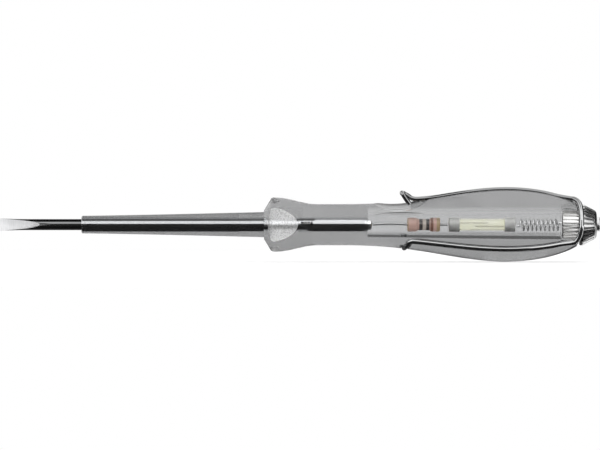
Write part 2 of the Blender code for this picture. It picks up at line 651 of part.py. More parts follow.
def make_end_cap(metal):
    """A knurled, rounded head with a threaded spigot and a recess for the touch button."""
    steps = 4 * RIB_COUNT
    outline_shares = [(0.0, 0.96), (0.05, 1.0), (0.18, 0.995), (0.36, 0.935), (0.6, 0.83),
                      (0.84, 0.725), (0.95, 0.655), (1.0, 0.57)]
    recess_floor = BUTTON_FRONT - GAP
    outline = [(CAP_FRONT, 0)]
    outline += [(CAP_FRONT + CAP_LENGTH * along, CAP_RADIUS * out) for along, out in outline_shares]
    outline += [(CAP_REAR, BUTTON_RADIUS + GAP), (recess_floor, BUTTON_RADIUS + GAP), (recess_floor, 0)]
    bm = turned(outline, steps)
    ribs_from = CAP_FRONT + CAP_LENGTH * outline_shares[2][0]
    ribs_to = CAP_FRONT + CAP_LENGTH * outline_shares[5][0]
    add_ribs(bm, steps, CAP_RIB_DEPTH, ribs_from - FINE_GAP, ribs_to + FINE_GAP, BUTTON_RADIUS + 2 * GAP)
    cap = add_object("end_cap", mesh_from(bm, "end_cap"), metal, sharp_angle=30.0)

    spigot = threaded_rod(SPIGOT_FRONT, CAP_FRONT + OVERRUN,
                          SPIGOT_ROOT_RADIUS, SPIGOT_CREST_RADIUS, False)
    combine(cap, make_cutter("spigot", mesh_from(spigot, "spigot")), "UNION")

    hole = BUTTON_SHANK_RADIUS + GAP
    hole_floor = BUTTON_FRONT - BUTTON_SHANK_LENGTH - GAP
    drill = turned([(hole_floor, 0), (hole_floor, hole), (recess_floor + GAP, hole),
                    (recess_floor + GAP, 0)], 20)
    combine(cap, make_cutter("shank_drill", mesh_from(drill, "shank_drill")), "DIFFERENCE")


def make_button(metal):
    """A round touch contact riveted into the end cap's recess."""
    edge = BUTTON_EDGE_ROUND
    shank_front = BUTTON_FRONT - BUTTON_SHANK_LENGTH
    outline = [(shank_front, 0), (shank_front, BUTTON_SHANK_RADIUS), (BUTTON_FRONT, BUTTON_SHANK_RADIUS)]
    outline += [(BUTTON_FRONT, BUTTON_RADIUS)]
    for angle in stations(0, math.pi / 2, 3):
        outline.append((BUTTON_REAR - edge * (1 - math.sin(angle)),
                        BUTTON_RADIUS - edge * (1 - math.cos(angle))))
    outline += [(BUTTON_REAR, 0)]
    add_object("contact_button", mesh_from(turned(outline, 32), "contact_button"), metal)


# Wire clip

def clip_bar_point(sweep):
    """A point of the crossbar. sweep runs from -90 to 90 degrees, from the lower leg to the upper."""
    power = 2 / CLIP_CORNER_POWER
    share = abs(math.sin(sweep)) ** power
    drop = 1 - abs(math.cos(sweep)) ** power
    angle = CLIP_MIDDLE_ANGLE + math.copysign(share, sweep) * CLIP_HALF_SPREAD
    radius = CLIP_BAR_RADIUS + CLIP_CORNER_RISE * share ** 4
    return around(CLIP_REAR - CLIP_CORNER_DEPTH * drop, radius, angle)


def leg_height(x, front_rise):
    """Distance of a leg's wire from the tool's axis: half sunk, and raised at both ends."""
    corner_x = CLIP_REAR - CLIP_CORNER_DEPTH
    corner_lift = CLIP_BAR_RADIUS + CLIP_CORNER_RISE - handle_radius(corner_x) + CLIP_SINK
    at_rear = smooth_step((x - corner_x + CLIP_REAR_BLEND) / CLIP_REAR_BLEND)
    at_front = smooth_step((CLIP_FRONT + CLIP_FRONT_BLEND - x) / CLIP_FRONT_BLEND)
    return handle_radius(x) - CLIP_SINK + corner_lift * at_rear + front_rise * at_front


def nose_knots():
    """The nose's free end, its narrow return bend and the bend down to the upper leg."""
    nose_shares = [(0.6, 0.6, 0.0), (0.9, 0.9, 0.1), (1.0, 1.0, 0.5), (0.9, 0.86, 0.9)]
    bend_height = leg_height(CLIP_FRONT, CLIP_FRONT_RISE + CLIP_SINK)
    nose = [around(CLIP_FRONT - NOSE_REACH * back, bend_height + NOSE_RISE * up, UPPER_LEG_ANGLE,
                   NOSE_WIDTH * side) for back, up, side in nose_shares]
    end_x = CLIP_FRONT - NOSE_REACH + NOSE_RETURN
    end_height = scoop_floor(end_x) + GAP + CLIP_WIRE_RADIUS
    top_height = bend_height + NOSE_RISE
    strand = [around((end_x + CLIP_FRONT - NOSE_REACH) / 2, (end_height + top_height) / 2,
                     UPPER_LEG_ANGLE, NOSE_WIDTH),
              around(end_x, end_height, UPPER_LEG_ANGLE, NOSE_WIDTH)]
    return list(reversed(nose + strand))


def held_knots():
    """The rest of the clip: upper leg, crossbar, lower leg and the anchored hook."""
    corner_x = CLIP_REAR - CLIP_CORNER_DEPTH
    legs = stations(CLIP_FRONT, corner_x, 13)
    knots = [around(x, leg_height(x, CLIP_FRONT_RISE + CLIP_SINK), UPPER_LEG_ANGLE) for x in legs[:-1]]
    sweeps = stations(math.pi / 2, -math.pi / 2, 14)
    knots += [clip_bar_point(sweep) for sweep in sweeps]
    knots += [around(x, leg_height(x, 0.0), LOWER_LEG_ANGLE) for x in reversed(legs[1:-1])]

    bend_height = handle_radius(CLIP_FRONT) - CLIP_SINK
    for angle in stations(0, math.pi / 2, 4):
        x = CLIP_FRONT - HOOK_CORNER * math.sin(angle)
        turn = HOOK_CORNER * (1 - math.cos(angle)) / bend_height
        knots.append(around(x, handle_radius(x) - CLIP_SINK, LOWER_LEG_ANGLE - turn))
    bend_x = CLIP_FRONT - HOOK_CORNER
    hook_x = CLIP_FRONT - HOOK_FORWARD
    first_angle = LOWER_LEG_ANGLE - HOOK_CORNER / bend_height
    last_angle = LOWER_LEG_ANGLE - HOOK_SWEEP
    for share in stations(0, 1, 3)[1:]:
        x = bend_x + (hook_x - bend_x) * math.sin(share * math.pi / 2)
        angle = first_angle + (last_angle - first_angle) * share
        knots.append(around(x, handle_radius(x) - CLIP_SINK, angle))
    height = handle_radius(hook_x) - CLIP_SINK
    for angle in (math.pi / 6, math.pi / 3, math.pi / 2):
        depth = HOOK_BEND * (1 - math.cos(angle))
        knots.append(around(hook_x, height - depth, last_angle, HOOK_BEND * math.sin(angle)))
    knots.append(around(hook_x, height - HOOK_ANCHOR_DEPTH, last_angle, HOOK_BEND))
    return knots


def cut_path(path, length):
    """Splits a path at a length from its start, with the split point in both halves."""
    run = 0.0
    for i, (a, b) in enumerate(zip(path, path[1:])):
        step = (b - a).length
        if run + step >= length:
            middle = a.lerp(b, (length - run) / step)
            return path[:i + 1] + [middle], [middle] + path[i + 1:]
        run += step
    return path, path[-1:]


def path_length(path):
    return sum((b - a).length for a, b in zip(path, path[1:]))


def make_clip(steel, route):
    """The one bent wire, parted where its upper leg flexes."""
    hinge_x = CLIP_REAR - CLIP_CORNER_DEPTH - CLIP_HINGE_BACK
    first_past = next(i for i, point in enumerate(route) if point.x > hinge_x)
    before, after = route[first_past - 1], route[first_past]
    hinge = before.lerp(after, (hinge_x - before.x) / (after.x - before.x))
    to_hinge = path_length(route[:first_past] + [hinge])
    arm, rest = cut_path(route, to_hinge - GAP / 2)
    frame = cut_path(rest, GAP)[1]
    arm_curve = tube_curve("clip_arm", arm, CLIP_WIRE_RADIUS, 2, hinge)
    add_object("clip_arm", arm_curve, steel).location = hinge
    add_object("clip_frame", tube_curve("clip_frame", frame, CLIP_WIRE_RADIUS, 2), steel)
    axis = around(0, 0, UPPER_LEG_ANGLE, -1.0)
    print("clip_flex pivot, m:", [round(value, 6) for value in hinge])
    print("clip_flex axis:", [round(value, 6) for value in axis])
    print("clip wire length, mm:", round(path_length(route) / MM, 1))


def main():
    clear_scene()
    chrome = finish("chromed steel", (0.62, 0.63, 0.65), 0.15, 1.0)
    clear = finish("clear plastic", (0.78, 0.79, 0.80), 0.12, 0.0, 0.35)
    smoke = finish("grey clear plastic", (0.55, 0.56, 0.57), 0.15, 0.0, 0.5)
    brass = finish("nickelled brass", (0.66, 0.65, 0.62), 0.25, 1.0)
    spring_steel = finish("spring steel", (0.55, 0.55, 0.56), 0.3, 1.0)
    lacquer = finish("resistor lacquer", (0.55, 0.36, 0.29), 0.4)
    ceramic = finish("ceramic", (0.8, 0.78, 0.72), 0.6)
    tinned = finish("tinned copper", (0.6, 0.6, 0.6), 0.35, 1.0)
    glass = finish("lamp glass", (0.9, 0.9, 0.88), 0.05, 0.0, 0.4)
    nickel = finish("electrode nickel", (0.5, 0.48, 0.45), 0.35, 1.0)

    route = smooth_path(nose_knots() + held_knots(), 2)
    make_blade(chrome)
    make_sleeve(smoke)
    make_handle(clear, smooth_path(held_knots(), 2))
    make_resistor(lacquer, ceramic, brass, tinned)
    make_lamp(glass, brass, nickel)
    make_spring(spring_steel)
    make_insert(brass)
    make_end_cap(chrome)
    make_button(chrome)
    make_clip(chrome, route)


main()
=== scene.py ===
# %% [markdown]
# # The looks of a voltage tester screwdriver
#
# A slotted blade is moulded into a handle of clear grey plastic. Through the plastic one sees the
# tester: a resistor, a neon lamp and a spring, in a row in the handle's bore, and a knurled metal
# bush that holds the end cap. A bright wire clip lies over the outside.
#
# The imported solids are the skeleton. This file dresses them, one piece at a time: each new piece
# starts from a primitive, is shaped in edit mode and then stands for one of the solids.

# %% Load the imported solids
import math

import bpy
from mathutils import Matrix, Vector


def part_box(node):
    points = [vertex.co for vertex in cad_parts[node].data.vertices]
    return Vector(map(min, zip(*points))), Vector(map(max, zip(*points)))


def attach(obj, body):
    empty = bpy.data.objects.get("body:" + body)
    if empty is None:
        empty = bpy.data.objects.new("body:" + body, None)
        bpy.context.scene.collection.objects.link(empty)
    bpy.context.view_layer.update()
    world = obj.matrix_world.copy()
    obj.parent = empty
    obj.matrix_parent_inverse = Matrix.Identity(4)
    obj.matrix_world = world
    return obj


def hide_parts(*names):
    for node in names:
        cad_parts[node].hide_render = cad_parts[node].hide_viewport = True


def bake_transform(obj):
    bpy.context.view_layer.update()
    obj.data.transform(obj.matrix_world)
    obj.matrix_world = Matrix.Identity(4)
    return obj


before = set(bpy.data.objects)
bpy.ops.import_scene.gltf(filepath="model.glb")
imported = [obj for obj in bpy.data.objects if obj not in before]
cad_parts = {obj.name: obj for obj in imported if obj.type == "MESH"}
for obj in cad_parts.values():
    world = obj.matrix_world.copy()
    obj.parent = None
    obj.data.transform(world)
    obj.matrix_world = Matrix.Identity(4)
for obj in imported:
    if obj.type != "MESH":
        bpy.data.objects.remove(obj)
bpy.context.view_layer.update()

MM = 0.001

# %% [markdown]
# ## Where things are
#
# Nothing here is placed by eye. The box of each solid says where its piece starts and ends along
# the tool's axis, which is X, and how thick it is. Angles round the axis start at the side that
# faces the camera, -Y, and grow towards +Z. The solids leave a small gap between pieces that touch
# on the real tool, and the new pieces keep it.

# %% Places read from the solids


def span(node):
    """Front end, rear end and radius of a solid that lies round the tool's axis."""
    low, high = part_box(node)
    return low[0], high[0], high[2]


def around(x, radius, angle, side=0.0):
    """The point at an angle round the axis, moved sideways towards smaller angles."""
    return Vector((x, -radius * math.cos(angle) - side * math.sin(angle),
                   radius * math.sin(angle) - side * math.cos(angle)))


def off_axis(point):
    """Distance of a point from the tool's axis."""
    return math.hypot(point.y, point.z)


def stations(start, end, steps):
    """Evenly spaced values from start to end, both included."""
    return [start + (end - start) * i / steps for i in range(steps + 1)]


def between(first, second, share):
    """The value that lies a share of the way from the first one to the second."""
    return first + (second - first) * share


def smooth_step(share):
    """Rises from 0 to 1 with a level start and a level end."""
    share = min(max(share, 0.0), 1.0)
    return (1 - math.cos(math.pi * share)) / 2


GAP = 0.3 * MM
HANDLE_FRONT, HANDLE_REAR, BELLY_RADIUS = span("handle")
SLEEVE_FRONT, SLEEVE_REAR, SLEEVE_REAR_RADIUS = span("blade_sleeve")
BLADE_FRONT, BLADE_REAR, TIP_HALF_WIDTH = span("blade")
CAP_REAR = span("end_cap")[1]
CAP_FRONT = HANDLE_REAR + GAP
CHAMBER_FRONT = BLADE_REAR - 1.1 * MM
for node in ("blade", "blade_sleeve", "handle", "resistor_coat", "lamp_glass", "contact_spring"):
    print(node, [round(value / MM, 2) for value in span(node)])

# %% [markdown]
# ## A few hand tools
#
# Round pieces are turned: a profile is drawn as a row of edges and spun once round the axis. The
# profile itself starts as a plane whose corners are merged into one point, which is then extruded
# from place to place. Bent wires start the same way, but become a curve with a thickness. Drawing
# by extruding is how one would do it by hand, so every step can be repeated in Blender's window.

# %% Start a drawing, and pull it along
MERGE = 0.002 * MM


def leave_edit():
    bpy.ops.object.mode_set(mode="OBJECT")


def deselect():
    if bpy.context.mode != "OBJECT":
        leave_edit()
    bpy.ops.object.select_all(action="DESELECT")


def pick(thing):
    """Makes one piece the selected and active one."""
    deselect()
    thing.select_set(True)
    bpy.context.view_layer.objects.active = thing


def edit(thing):
    """Takes one piece into edit mode, with all of it selected."""
    pick(thing)
    bpy.ops.object.mode_set(mode="EDIT")
    bpy.ops.mesh.select_all(action="SELECT")


def settle(name):
    """Names the primitive that was just added and moves its place into its mesh."""
    thing = bpy.context.object
    thing.name = name
    bpy.ops.object.transform_apply(location=True, rotation=True, scale=True)
    return thing


def first_point(name, place):
    """A plane merged into one point, in edit mode."""
    deselect()
    bpy.ops.mesh.primitive_plane_add(size=MM, location=place)
    thing = settle(name)
    edit(thing)
    bpy.ops.mesh.select_mode(type="VERT")
    bpy.ops.mesh.merge(type="CENTER")
    return thing


def pull_along(places):
    """Extrudes the selected point through a row of places."""
    for before, after in zip(places, places[1:]):
        bpy.ops.mesh.extrude_region_move(TRANSFORM_OT_translate={"value": after - before})


def close_up():
    """Merges doubles, turns the faces outwards and leaves edit mode."""
    bpy.ops.mesh.select_all(action="SELECT")
    bpy.ops.mesh.remove_doubles(threshold=MERGE)
    bpy.ops.mesh.normals_make_consistent(inside=False)
    leave_edit()


def count(thing):
    """Prints how many faces a piece has."""
    print(f"{thing.name}: {len(thing.data.polygons)} faces")


# %% Turn and bend


def rounded(face, radius, size, way=1, steps=6):
    """A profile's rounded edge, from a flat face, with the piece lying that way, to a radius."""
    return [(face + way * size * (1 - math.cos(angle)), radius - size * (1 - math.sin(angle)))
            for angle in stations(0, math.pi / 2, steps)]


def turn(name, profile, steps):
    """Spins a profile of (x, radius) points round the axis into a closed shape."""
    places = [Vector((x, 0, radius)) for x, radius in profile]
    if profile[0][1] > 0:
        places.append(places[0])
    thing = first_point(name, places[0])
    pull_along(places)
    bpy.ops.mesh.select_all(action="SELECT")
    bpy.ops.mesh.spin(steps=steps, angle=math.tau, center=(0, 0, 0), axis=(1, 0, 0),
                      use_auto_merge=True)
    close_up()
    return thing


def bend_wire(name, path, radius, resolution=4):
    """Draws a path and gives it a round thickness."""
    thing = first_point(name, path[0])
    pull_along(path)
    leave_edit()
    bpy.ops.object.convert(target="CURVE")
    thing = bpy.context.object
    thing.data.bevel_depth = radius
    thing.data.bevel_resolution = resolution
    thing.data.use_fill_caps = True
    bpy.ops.object.convert(target="MESH")
    thing = bpy.context.object
    edit(thing)
    close_up()
    return thing


# %% Select, slice, cut and soften


def select_faces(thing, wanted):
    """In edit mode, selects the faces that a test picks by their middle and normal."""
    edit(thing)
    bpy.ops.mesh.select_mode(type="FACE")
    bpy.ops.mesh.select_all(action="DESELECT")
    leave_edit()
    for face in thing.data.polygons:
        face.select = wanted(face.center, face.normal)
    bpy.ops.object.mode_set(mode="EDIT")


def slice_off(thing, place, normal):
    """Cuts away what lies beyond a plane and closes the cut."""
    edit(thing)
    bpy.ops.mesh.bisect(plane_co=place, plane_no=normal, use_fill=True, clear_outer=True,
                        threshold=MERGE / 10)
    leave_edit()


def apply_modifier(thing, kind, **settings):
    """Adds a modifier with its settings and applies it at once."""
    pick(thing)
    modifier = thing.modifiers.new(kind.lower(), kind)
    for name, value in settings.items():
        setattr(modifier, name, value)
    bpy.ops.object.modifier_apply(modifier=modifier.name)


def boolean(thing, tool, operation):
    """Cuts or joins with a helper piece, which is then thrown away."""
    apply_modifier(thing, "BOOLEAN", operation=operation, solver="EXACT", object=tool)
    bpy.data.objects.remove(tool, do_unlink=True)


def soften(thing, width, angle=40.0, segments=2):
    """Rounds the edges that are sharper than an angle."""
    apply_modifier(thing, "BEVEL", width=width, segments=segments, limit_method="ANGLE",
                   angle_limit=math.radians(angle), harden_normals=False)


# %% [markdown]
# ## Shader maths that reads like maths
#
# A material is a graph of nodes, and writing one link by link is hard to read. The small class
# below wraps a socket, so that an expression such as 1 - mask * 0.4 adds its own Math nodes. Every
# other node comes from one method, which takes the node's type, settings and inputs.

# %% Numbers and colours that come out of nodes


def maths(operation):
    """Makes a method that adds a Math node of one kind."""
    return lambda self, other=0.0: self.graph.node("ShaderNodeMath", {"operation": operation},
                                                   {0: self, 1: other})


class Value:
    """A number or colour that comes out of a node."""

    def __init__(self, graph, socket):
        self.graph = graph
        self.socket = socket

    __add__ = __radd__ = maths("ADD")
    __mul__ = __rmul__ = maths("MULTIPLY")
    __sub__ = maths("SUBTRACT")
    __truediv__ = maths("DIVIDE")
    __gt__ = maths("GREATER_THAN")
    __lt__ = maths("LESS_THAN")
    absolute = maths("ABSOLUTE")
    root = maths("SQRT")
    at_least = maths("MAXIMUM")

    def __rsub__(self, other):
        return self.graph.node("ShaderNodeMath", {"operation": "SUBTRACT"}, {0: other, 1: self})


# %% Node trees and materials


class Graph:
    """A node tree that nodes are added to."""

    def __init__(self, tree):
        self.tree = tree

    def feed(self, socket, value):
        """Sets a socket to a number or colour, or links a value to it."""
        if isinstance(value, Value):
            self.tree.links.new(value.socket, socket)
        else:
            socket.default_value = value

    def node(self, kind, settings, inputs, output=0):
        """Adds a node, with its settings first and then its inputs."""
        node = self.tree.nodes.new(kind)
        for name, value in settings.items():
            setattr(node, name, value)
        for name, value in inputs.items():
            self.feed(node.inputs[name], value)
        return Value(self, node.outputs[output])


class Finish(Graph):
    """A material whose Principled shader takes plain settings and patterned inputs."""

    def __init__(self, name, colour, roughness, metallic=0.0, **settings):
        self.material = bpy.data.materials.new(name)
        self.material.use_nodes = True
        super().__init__(self.material.node_tree)
        self.shader = self.tree.nodes["Principled BSDF"]
        self.place = self.node("ShaderNodeTexCoord", {}, {}, "Object")
        self.set("Base Color", (*colour, 1.0))
        self.set("Roughness", roughness)
        self.set("Metallic", metallic)
        for socket, value in settings.items():
            self.set(socket.replace("_", " ").title().replace("Ior", "IOR"), value)

    def set(self, socket, value):
        """Sets a socket of the shader, or links a pattern to it."""
        self.feed(self.shader.inputs[socket], value)

    def stretched(self, x, y, z):
        """The piece's own coordinates, scaled along each axis."""
        return self.node("ShaderNodeMapping", {}, {"Vector": self.place, "Scale": (x, y, z)})

    def noise(self, size, detail=2.0, place=None):
        """Cloudy noise whose spots are about as large as size."""
        return self.node("ShaderNodeTexNoise", {},
                         {"Vector": place or self.place, "Scale": 1 / size, "Detail": detail})

    def ramp(self, value, *stops):
        """Turns a value into colours, from stops that each hold a position and a colour."""
        colours = self.node("ShaderNodeValToRGB", {}, {"Fac": value})
        elements = colours.socket.node.color_ramp.elements
        for stop in stops[2:]:
            elements.new(0.5)
        for element, (position, colour) in zip(elements, stops):
            element.position = position
            element.color = (*colour, 1.0)
        return colours

    def mix(self, share, first, second):
        """Mixes two colours."""
        first, second = (colour if isinstance(colour, Value) else (*colour, 1.0)
                         for colour in (first, second))
        return self.node("ShaderNodeMix", {"data_type": "RGBA"}, {0: share, 6: first, 7: second}, 2)

    def axis(self, index):
        """One of the piece's own coordinates in metres: 0 along the tool, 1 away from us, 2 up."""
        return self.node("ShaderNodeSeparateXYZ", {}, {"Vector": self.place}, index)

    def axes(self):
        return [self.axis(index) for index in range(3)]

    def share(self, value, low, high):
        """Where a value lies between a low and a high one, from 0 to 1."""
        return self.node("ShaderNodeMapRange", {},
                         {"Value": value, "From Min": low, "From Max": high})

    def bump(self, height, depth, strength=1.0):
        """Raises the surface by up to depth."""
        normal = self.node("ShaderNodeBump", {},
                           {"Height": height, "Distance": depth, "Strength": strength})
        self.set("Normal", normal)


def grey(level):
    return (level, level, level)


def dimmed(colour, factor):
    """A colour times a number, worked out before it reaches a node."""
    return tuple(part * factor for part in colour)


# %% [markdown]
# ## Finishes
#
# Chromed steel is nearly black and white, because it only mirrors the studio. What makes it look
# real is what breaks the mirror: grinding lines at the tip, drawing lines along the wire and a
# faint haze that changes from place to place. The clear plastic bends light, so its colour has
# to be a pale grey that darkens with each surface that the light crosses.

# %% Chromed and ground steel, and other grained finishes
# Where a painted patch of bubble shade and glints lies on the blade's near side.
BUBBLE_SHADE_FRONT, BUBBLE_SHADE_REAR = SLEEVE_REAR, SLEEVE_REAR + 3.1 * MM
BUBBLE_SHADE_LOW, BUBBLE_SHADE_HIGH = -0.25 * MM, 0.62 * MM


def make_blade_finish():
    """Chrome, painted darker where it is bare and brighter where the plastic covers it, with a
    painted patch of bubble shade and glints on its near side just behind the sleeve.
    """
    steel = Finish("chromed_steel", (0.62, 0.63, 0.65), 0.14, 1.0)
    haze = steel.noise(4 * MM, 4.0)
    x, y, z = steel.axes()
    steel.set("Roughness", 0.04 + haze * 0.04)
    # Painted shade and light: bare chrome is darkened, and chrome under the plastic is brightened.
    bare = steel.mix(haze, (0.27, 0.275, 0.28), (0.36, 0.365, 0.37))
    shaded_and_lit_blade = steel.mix(x > SLEEVE_FRONT, bare, (0.8, 0.81, 0.82))
    # Painted shade and glints: on the side towards -Y, a near-black patch with white specks stands
    # for bubbles in the plastic.
    patch = ((x > BUBBLE_SHADE_FRONT) * (x < BUBBLE_SHADE_REAR) * (y < 0.0)
             * (z > BUBBLE_SHADE_LOW) * (z < BUBBLE_SHADE_HIGH))
    bubble_shade_and_glints = steel.ramp(steel.noise(0.3 * MM, 1.0), (0.4, grey(0.01)), (0.55, grey(0.05)),
                         (0.6, grey(0.9)))
    steel.set("Base Color", steel.mix(patch, shaded_and_lit_blade, bubble_shade_and_glints))
    steel.bump(haze, 0.001 * MM)
    return steel.material


def make_grained_finish(name, dark, light, size, detail, depth, roughness, metallic=0.0,
                        spread=0.0, stretch=None):
    """Grains that change the colour and raise the surface, and with a spread the roughness too."""
    finish = Finish(name, light, roughness, metallic)
    grains = finish.noise(size, detail, finish.stretched(*stretch) if stretch else None)
    finish.set("Base Color", finish.mix(grains, dark, light))
    if spread:
        finish.set("Roughness", roughness + grains * spread)
    finish.bump(grains, depth)
    return finish.material


# %% Bright wire, spring wire and tinned leads
# Heights over which the wire's top is painted darker, as shade.
TOP_SHADE_FROM, TOP_SHADE_TO = 3.5 * MM, 6.5 * MM


def make_wire_finish(name, colour, roughness, line_size, depth, painted_shade=1.0):
    """Drawn wire: lines that run along the tool, a slight haze, and a top painted darker as shade.
    """
    metal = Finish(name, colour, roughness, 1.0)
    haze = metal.noise(3 * MM, 3.0)
    lines = metal.noise(line_size, 2.0, metal.stretched(0.12, 1.0, 1.0))
    metal.set("Roughness", roughness * 0.7 + haze * roughness * 0.6)
    drawn = metal.mix(lines, dimmed(colour, 0.8), colour)
    # Painted shade: the colour darkens above a height, on the clip's upper leg and nose.
    height = metal.share(metal.axis(2), TOP_SHADE_FROM, TOP_SHADE_TO)
    metal.set("Base Color", metal.mix(height, drawn, dimmed(colour, painted_shade)))
    metal.bump(lines, depth)
    return metal.material


# %% Plated brass of the cap, the button and the bush
CAP_TAPER = 0.46
TAPER_FROM = between(CAP_FRONT, CAP_REAR, 0.2)


def make_plated_finish(name, colour, roughness, groove_radius, rib_radius, groove_shade, taper=0.0,
                       unshaded_to=0.0):
    """Nickel plate with painted shade in the knurl's grooves, also where it tapers; none up to a
    place.
    """
    metal = Finish(name, colour, roughness, 1.0)
    pits = metal.noise(0.35 * MM, 4.0)
    haze = metal.noise(2.5 * MM, 2.0)
    x, y, z = metal.axes()
    reach = (y * y + z * z).root() + (x - TAPER_FROM).at_least(0.0) * taper
    # Painted shade: the colour darkens towards the bottom of the knurl's grooves.
    crest = metal.share(reach + (x < unshaded_to) * rib_radius, groove_radius, rib_radius)
    painted_shade = metal.mix(crest * 0.8 + pits * 0.3, dimmed(colour, 1 - groove_shade), colour)
    metal.set("Base Color", painted_shade)
    metal.set("Roughness", roughness * 0.6 + haze * roughness * 0.5 + (1 - crest) * 0.12)
    metal.bump(pits, 0.012 * MM, 0.6)
    return metal.material


# %% Clear plastics
PLASTIC_IOR = 1.3
HOLLOW_MIDDLE = 0.7 * MM
HOLLOW_HEIGHT = 3.8 * MM
# How much paler the painted window over the hollow is.
HOLLOW_LIGHT_GAIN = 1.9


def make_clear_finish(name, colour, tint, ripple, clearness, hollow_from=None):
    """Clear plastic with a moulding's slow ripples and a few scratches, and a painted paler window
    over a hollow.
    """
    plastic = Finish(name, colour, 0.03, ior=PLASTIC_IOR, transmission_weight=clearness)
    cloud = plastic.noise(9 * MM, 2.0)
    shade = plastic.mix(cloud, colour, tint)
    if hollow_from is not None:
        x, y, z = plastic.axes()
        height = (z - HOLLOW_MIDDLE).absolute() / HOLLOW_HEIGHT
        # Painted light: over the chamber, on the side towards -Y, the tint is made paler in a band
        # round its middle, for light through the thinner wall.
        window_light = plastic.ramp(height, (0.6, grey(1.0)), (1.0, grey(0.0)))
        shade = plastic.mix(window_light * (x > hollow_from) * (y < 0.0), shade, dimmed(tint, HOLLOW_LIGHT_GAIN))
    plastic.set("Base Color", shade)
    scratches = plastic.noise(0.5 * MM, 3.0, plastic.stretched(0.08, 1.0, 1.0))
    plastic.set("Roughness", plastic.ramp(scratches, (0.0, grey(0.0)), (0.66, grey(0.01)),
                                          (0.74, grey(0.04))))
    plastic.bump(plastic.noise(5 * MM, 1.0), ripple)
    return plastic.material


def make_joint_finish():
    """Faces that touch another piece: light goes straight on, through a trace of haze."""
    joint = Finish("moulded_joint", grey(1.0), 0.0, ior=1.0, transmission_weight=1.0)
    haze = joint.noise(0.8 * MM, 2.0)
    joint.set("Base Color", joint.mix(haze, grey(0.97), grey(1.0)))
    return joint.material


def make_frosted_finish():
    """The collar's facets: blasted, so they scatter what lies behind them."""
    frost = Finish("frosted_plastic", grey(0.9), 0.6, ior=PLASTIC_IOR,
                   transmission_weight=0.85)
    grains = frost.noise(0.3 * MM, 2.0)
    speckle = frost.ramp(grains, (0.38, grey(0.55)), (0.56, grey(1.0)))
    frost.set("Base Color", speckle)
    frost.set("Roughness", 0.42 + grains * 0.3)
    frost.bump(grains, 0.06 * MM)
    return frost.material


# %% Resistor lacquer with its colour bands
RESISTOR_FRONT, RESISTOR_REAR, RESISTOR_RADIUS = span("resistor_coat")


def make_lacquer_finish():
    """Reddish brown lacquer with two black bands, a pale gap, a brown band and gold ends."""
    lacquer = Finish("resistor_lacquer", (0.55, 0.33, 0.27), 0.3, coat_weight=0.1)
    body, black, pale = (0.95, 0.6, 0.5), (0.003, 0.002, 0.002), (0.9, 0.8, 0.7)
    brown, gold = (0.3, 0.11, 0.06), (0.66, 0.46, 0.24)
    share = (lacquer.axis(0) - RESISTOR_FRONT) / (RESISTOR_REAR - RESISTOR_FRONT)
    wobble = share + (lacquer.noise(0.9 * MM, 1.0) - 0.5) * 0.02
    bands = lacquer.ramp(wobble, (0.0, gold), (0.06, body), (0.35, body), (0.37, black),
                         (0.455, black), (0.475, pale), (0.56, pale), (0.58, black),
                         (0.665, black), (0.685, body), (0.72, brown), (0.78, brown),
                         (0.795, body), (0.88, body), (0.9, gold))
    mottle = lacquer.noise(0.6 * MM, 3.0)
    lacquer.set("Base Color", lacquer.mix(mottle * 0.12, bands, (0.9, 0.62, 0.52)))
    lacquer.set("Roughness", 0.16 + mottle * 0.2)
    lacquer.bump(mottle, 0.03 * MM, 0.5)
    return lacquer.material


# %% Lamp glass


def make_glass_finish():
    """Thin lamp glass, a little wavy and faintly warm, as old soda glass is, with a faint painted
    glow.
    """
    glass = Finish("lamp_glass", (0.95, 0.95, 0.92), 0.01, ior=1.45, transmission_weight=0.85)
    wave = glass.noise(1.8 * MM, 1.0)
    glass.set("Base Color", glass.mix(wave, (0.98, 0.98, 0.95), (0.95, 0.96, 0.82)))
    # Painted light: a faint glow, though the lamp is not lit, stands for the light that the glass
    # gathers as a lens.
    glass.set("Emission Color", glass.mix(wave, (1.0, 1.0, 0.92), (1.0, 0.98, 0.72)))
    glass.set("Emission Strength", 0.12)
    glass.bump(wave, 0.03 * MM)
    return glass.material


# %% Make them all
chrome = make_blade_finish()
ground = make_grained_finish("ground_steel", (0.66, 0.67, 0.68), (0.9, 0.9, 0.91), 1.0 * MM, 3.0,
                             0.02 * MM, 0.24, 1.0, 0.12, (5.0, 0.6, 0.5))
# The clip's top is painted down to 0.45 of its colour, as shade.
clip_steel = make_wire_finish("clip_wire", (0.84, 0.845, 0.85), 0.1, 0.25 * MM, 0.004 * MM, 0.45)
spring_steel = make_wire_finish("spring_steel", grey(1.0), 0.25, 0.12 * MM, 0.008 * MM)
tinned = make_wire_finish("tinned_steel", grey(0.6), 0.3, 0.2 * MM, 0.012 * MM)
# Painted shade darkens the grooves of the cap, the button, the bush and the lamp caps.
plated = make_plated_finish("plated_cap", grey(0.86), 0.22, 4.86 * MM, 5.1 * MM, 0.85,
                            CAP_TAPER, CAP_FRONT)
button_metal = make_plated_finish("touch_button_plate", grey(0.9), 0.3, 1.0 * MM,
                                  1.8 * MM, 0.2)
nickelled = make_plated_finish("nickelled_brass", (0.93, 0.92, 0.9), 0.4, 3.3 * MM, 3.48 * MM, 0.9)
lamp_metal = make_plated_finish("lamp_cap_plate", (0.95, 0.95, 0.93), 1.0, 0.8 * MM, 1.0 * MM, 0.2)
clear = make_clear_finish("clear_plastic", (0.3, 0.302, 0.305), (0.36, 0.362, 0.365), 0.02 * MM,
                          0.97, CHAMBER_FRONT)
smoky = make_clear_finish("grey_clear_plastic", (0.27, 0.272, 0.275), (0.31, 0.312, 0.315),
                          0.003 * MM, 0.97)
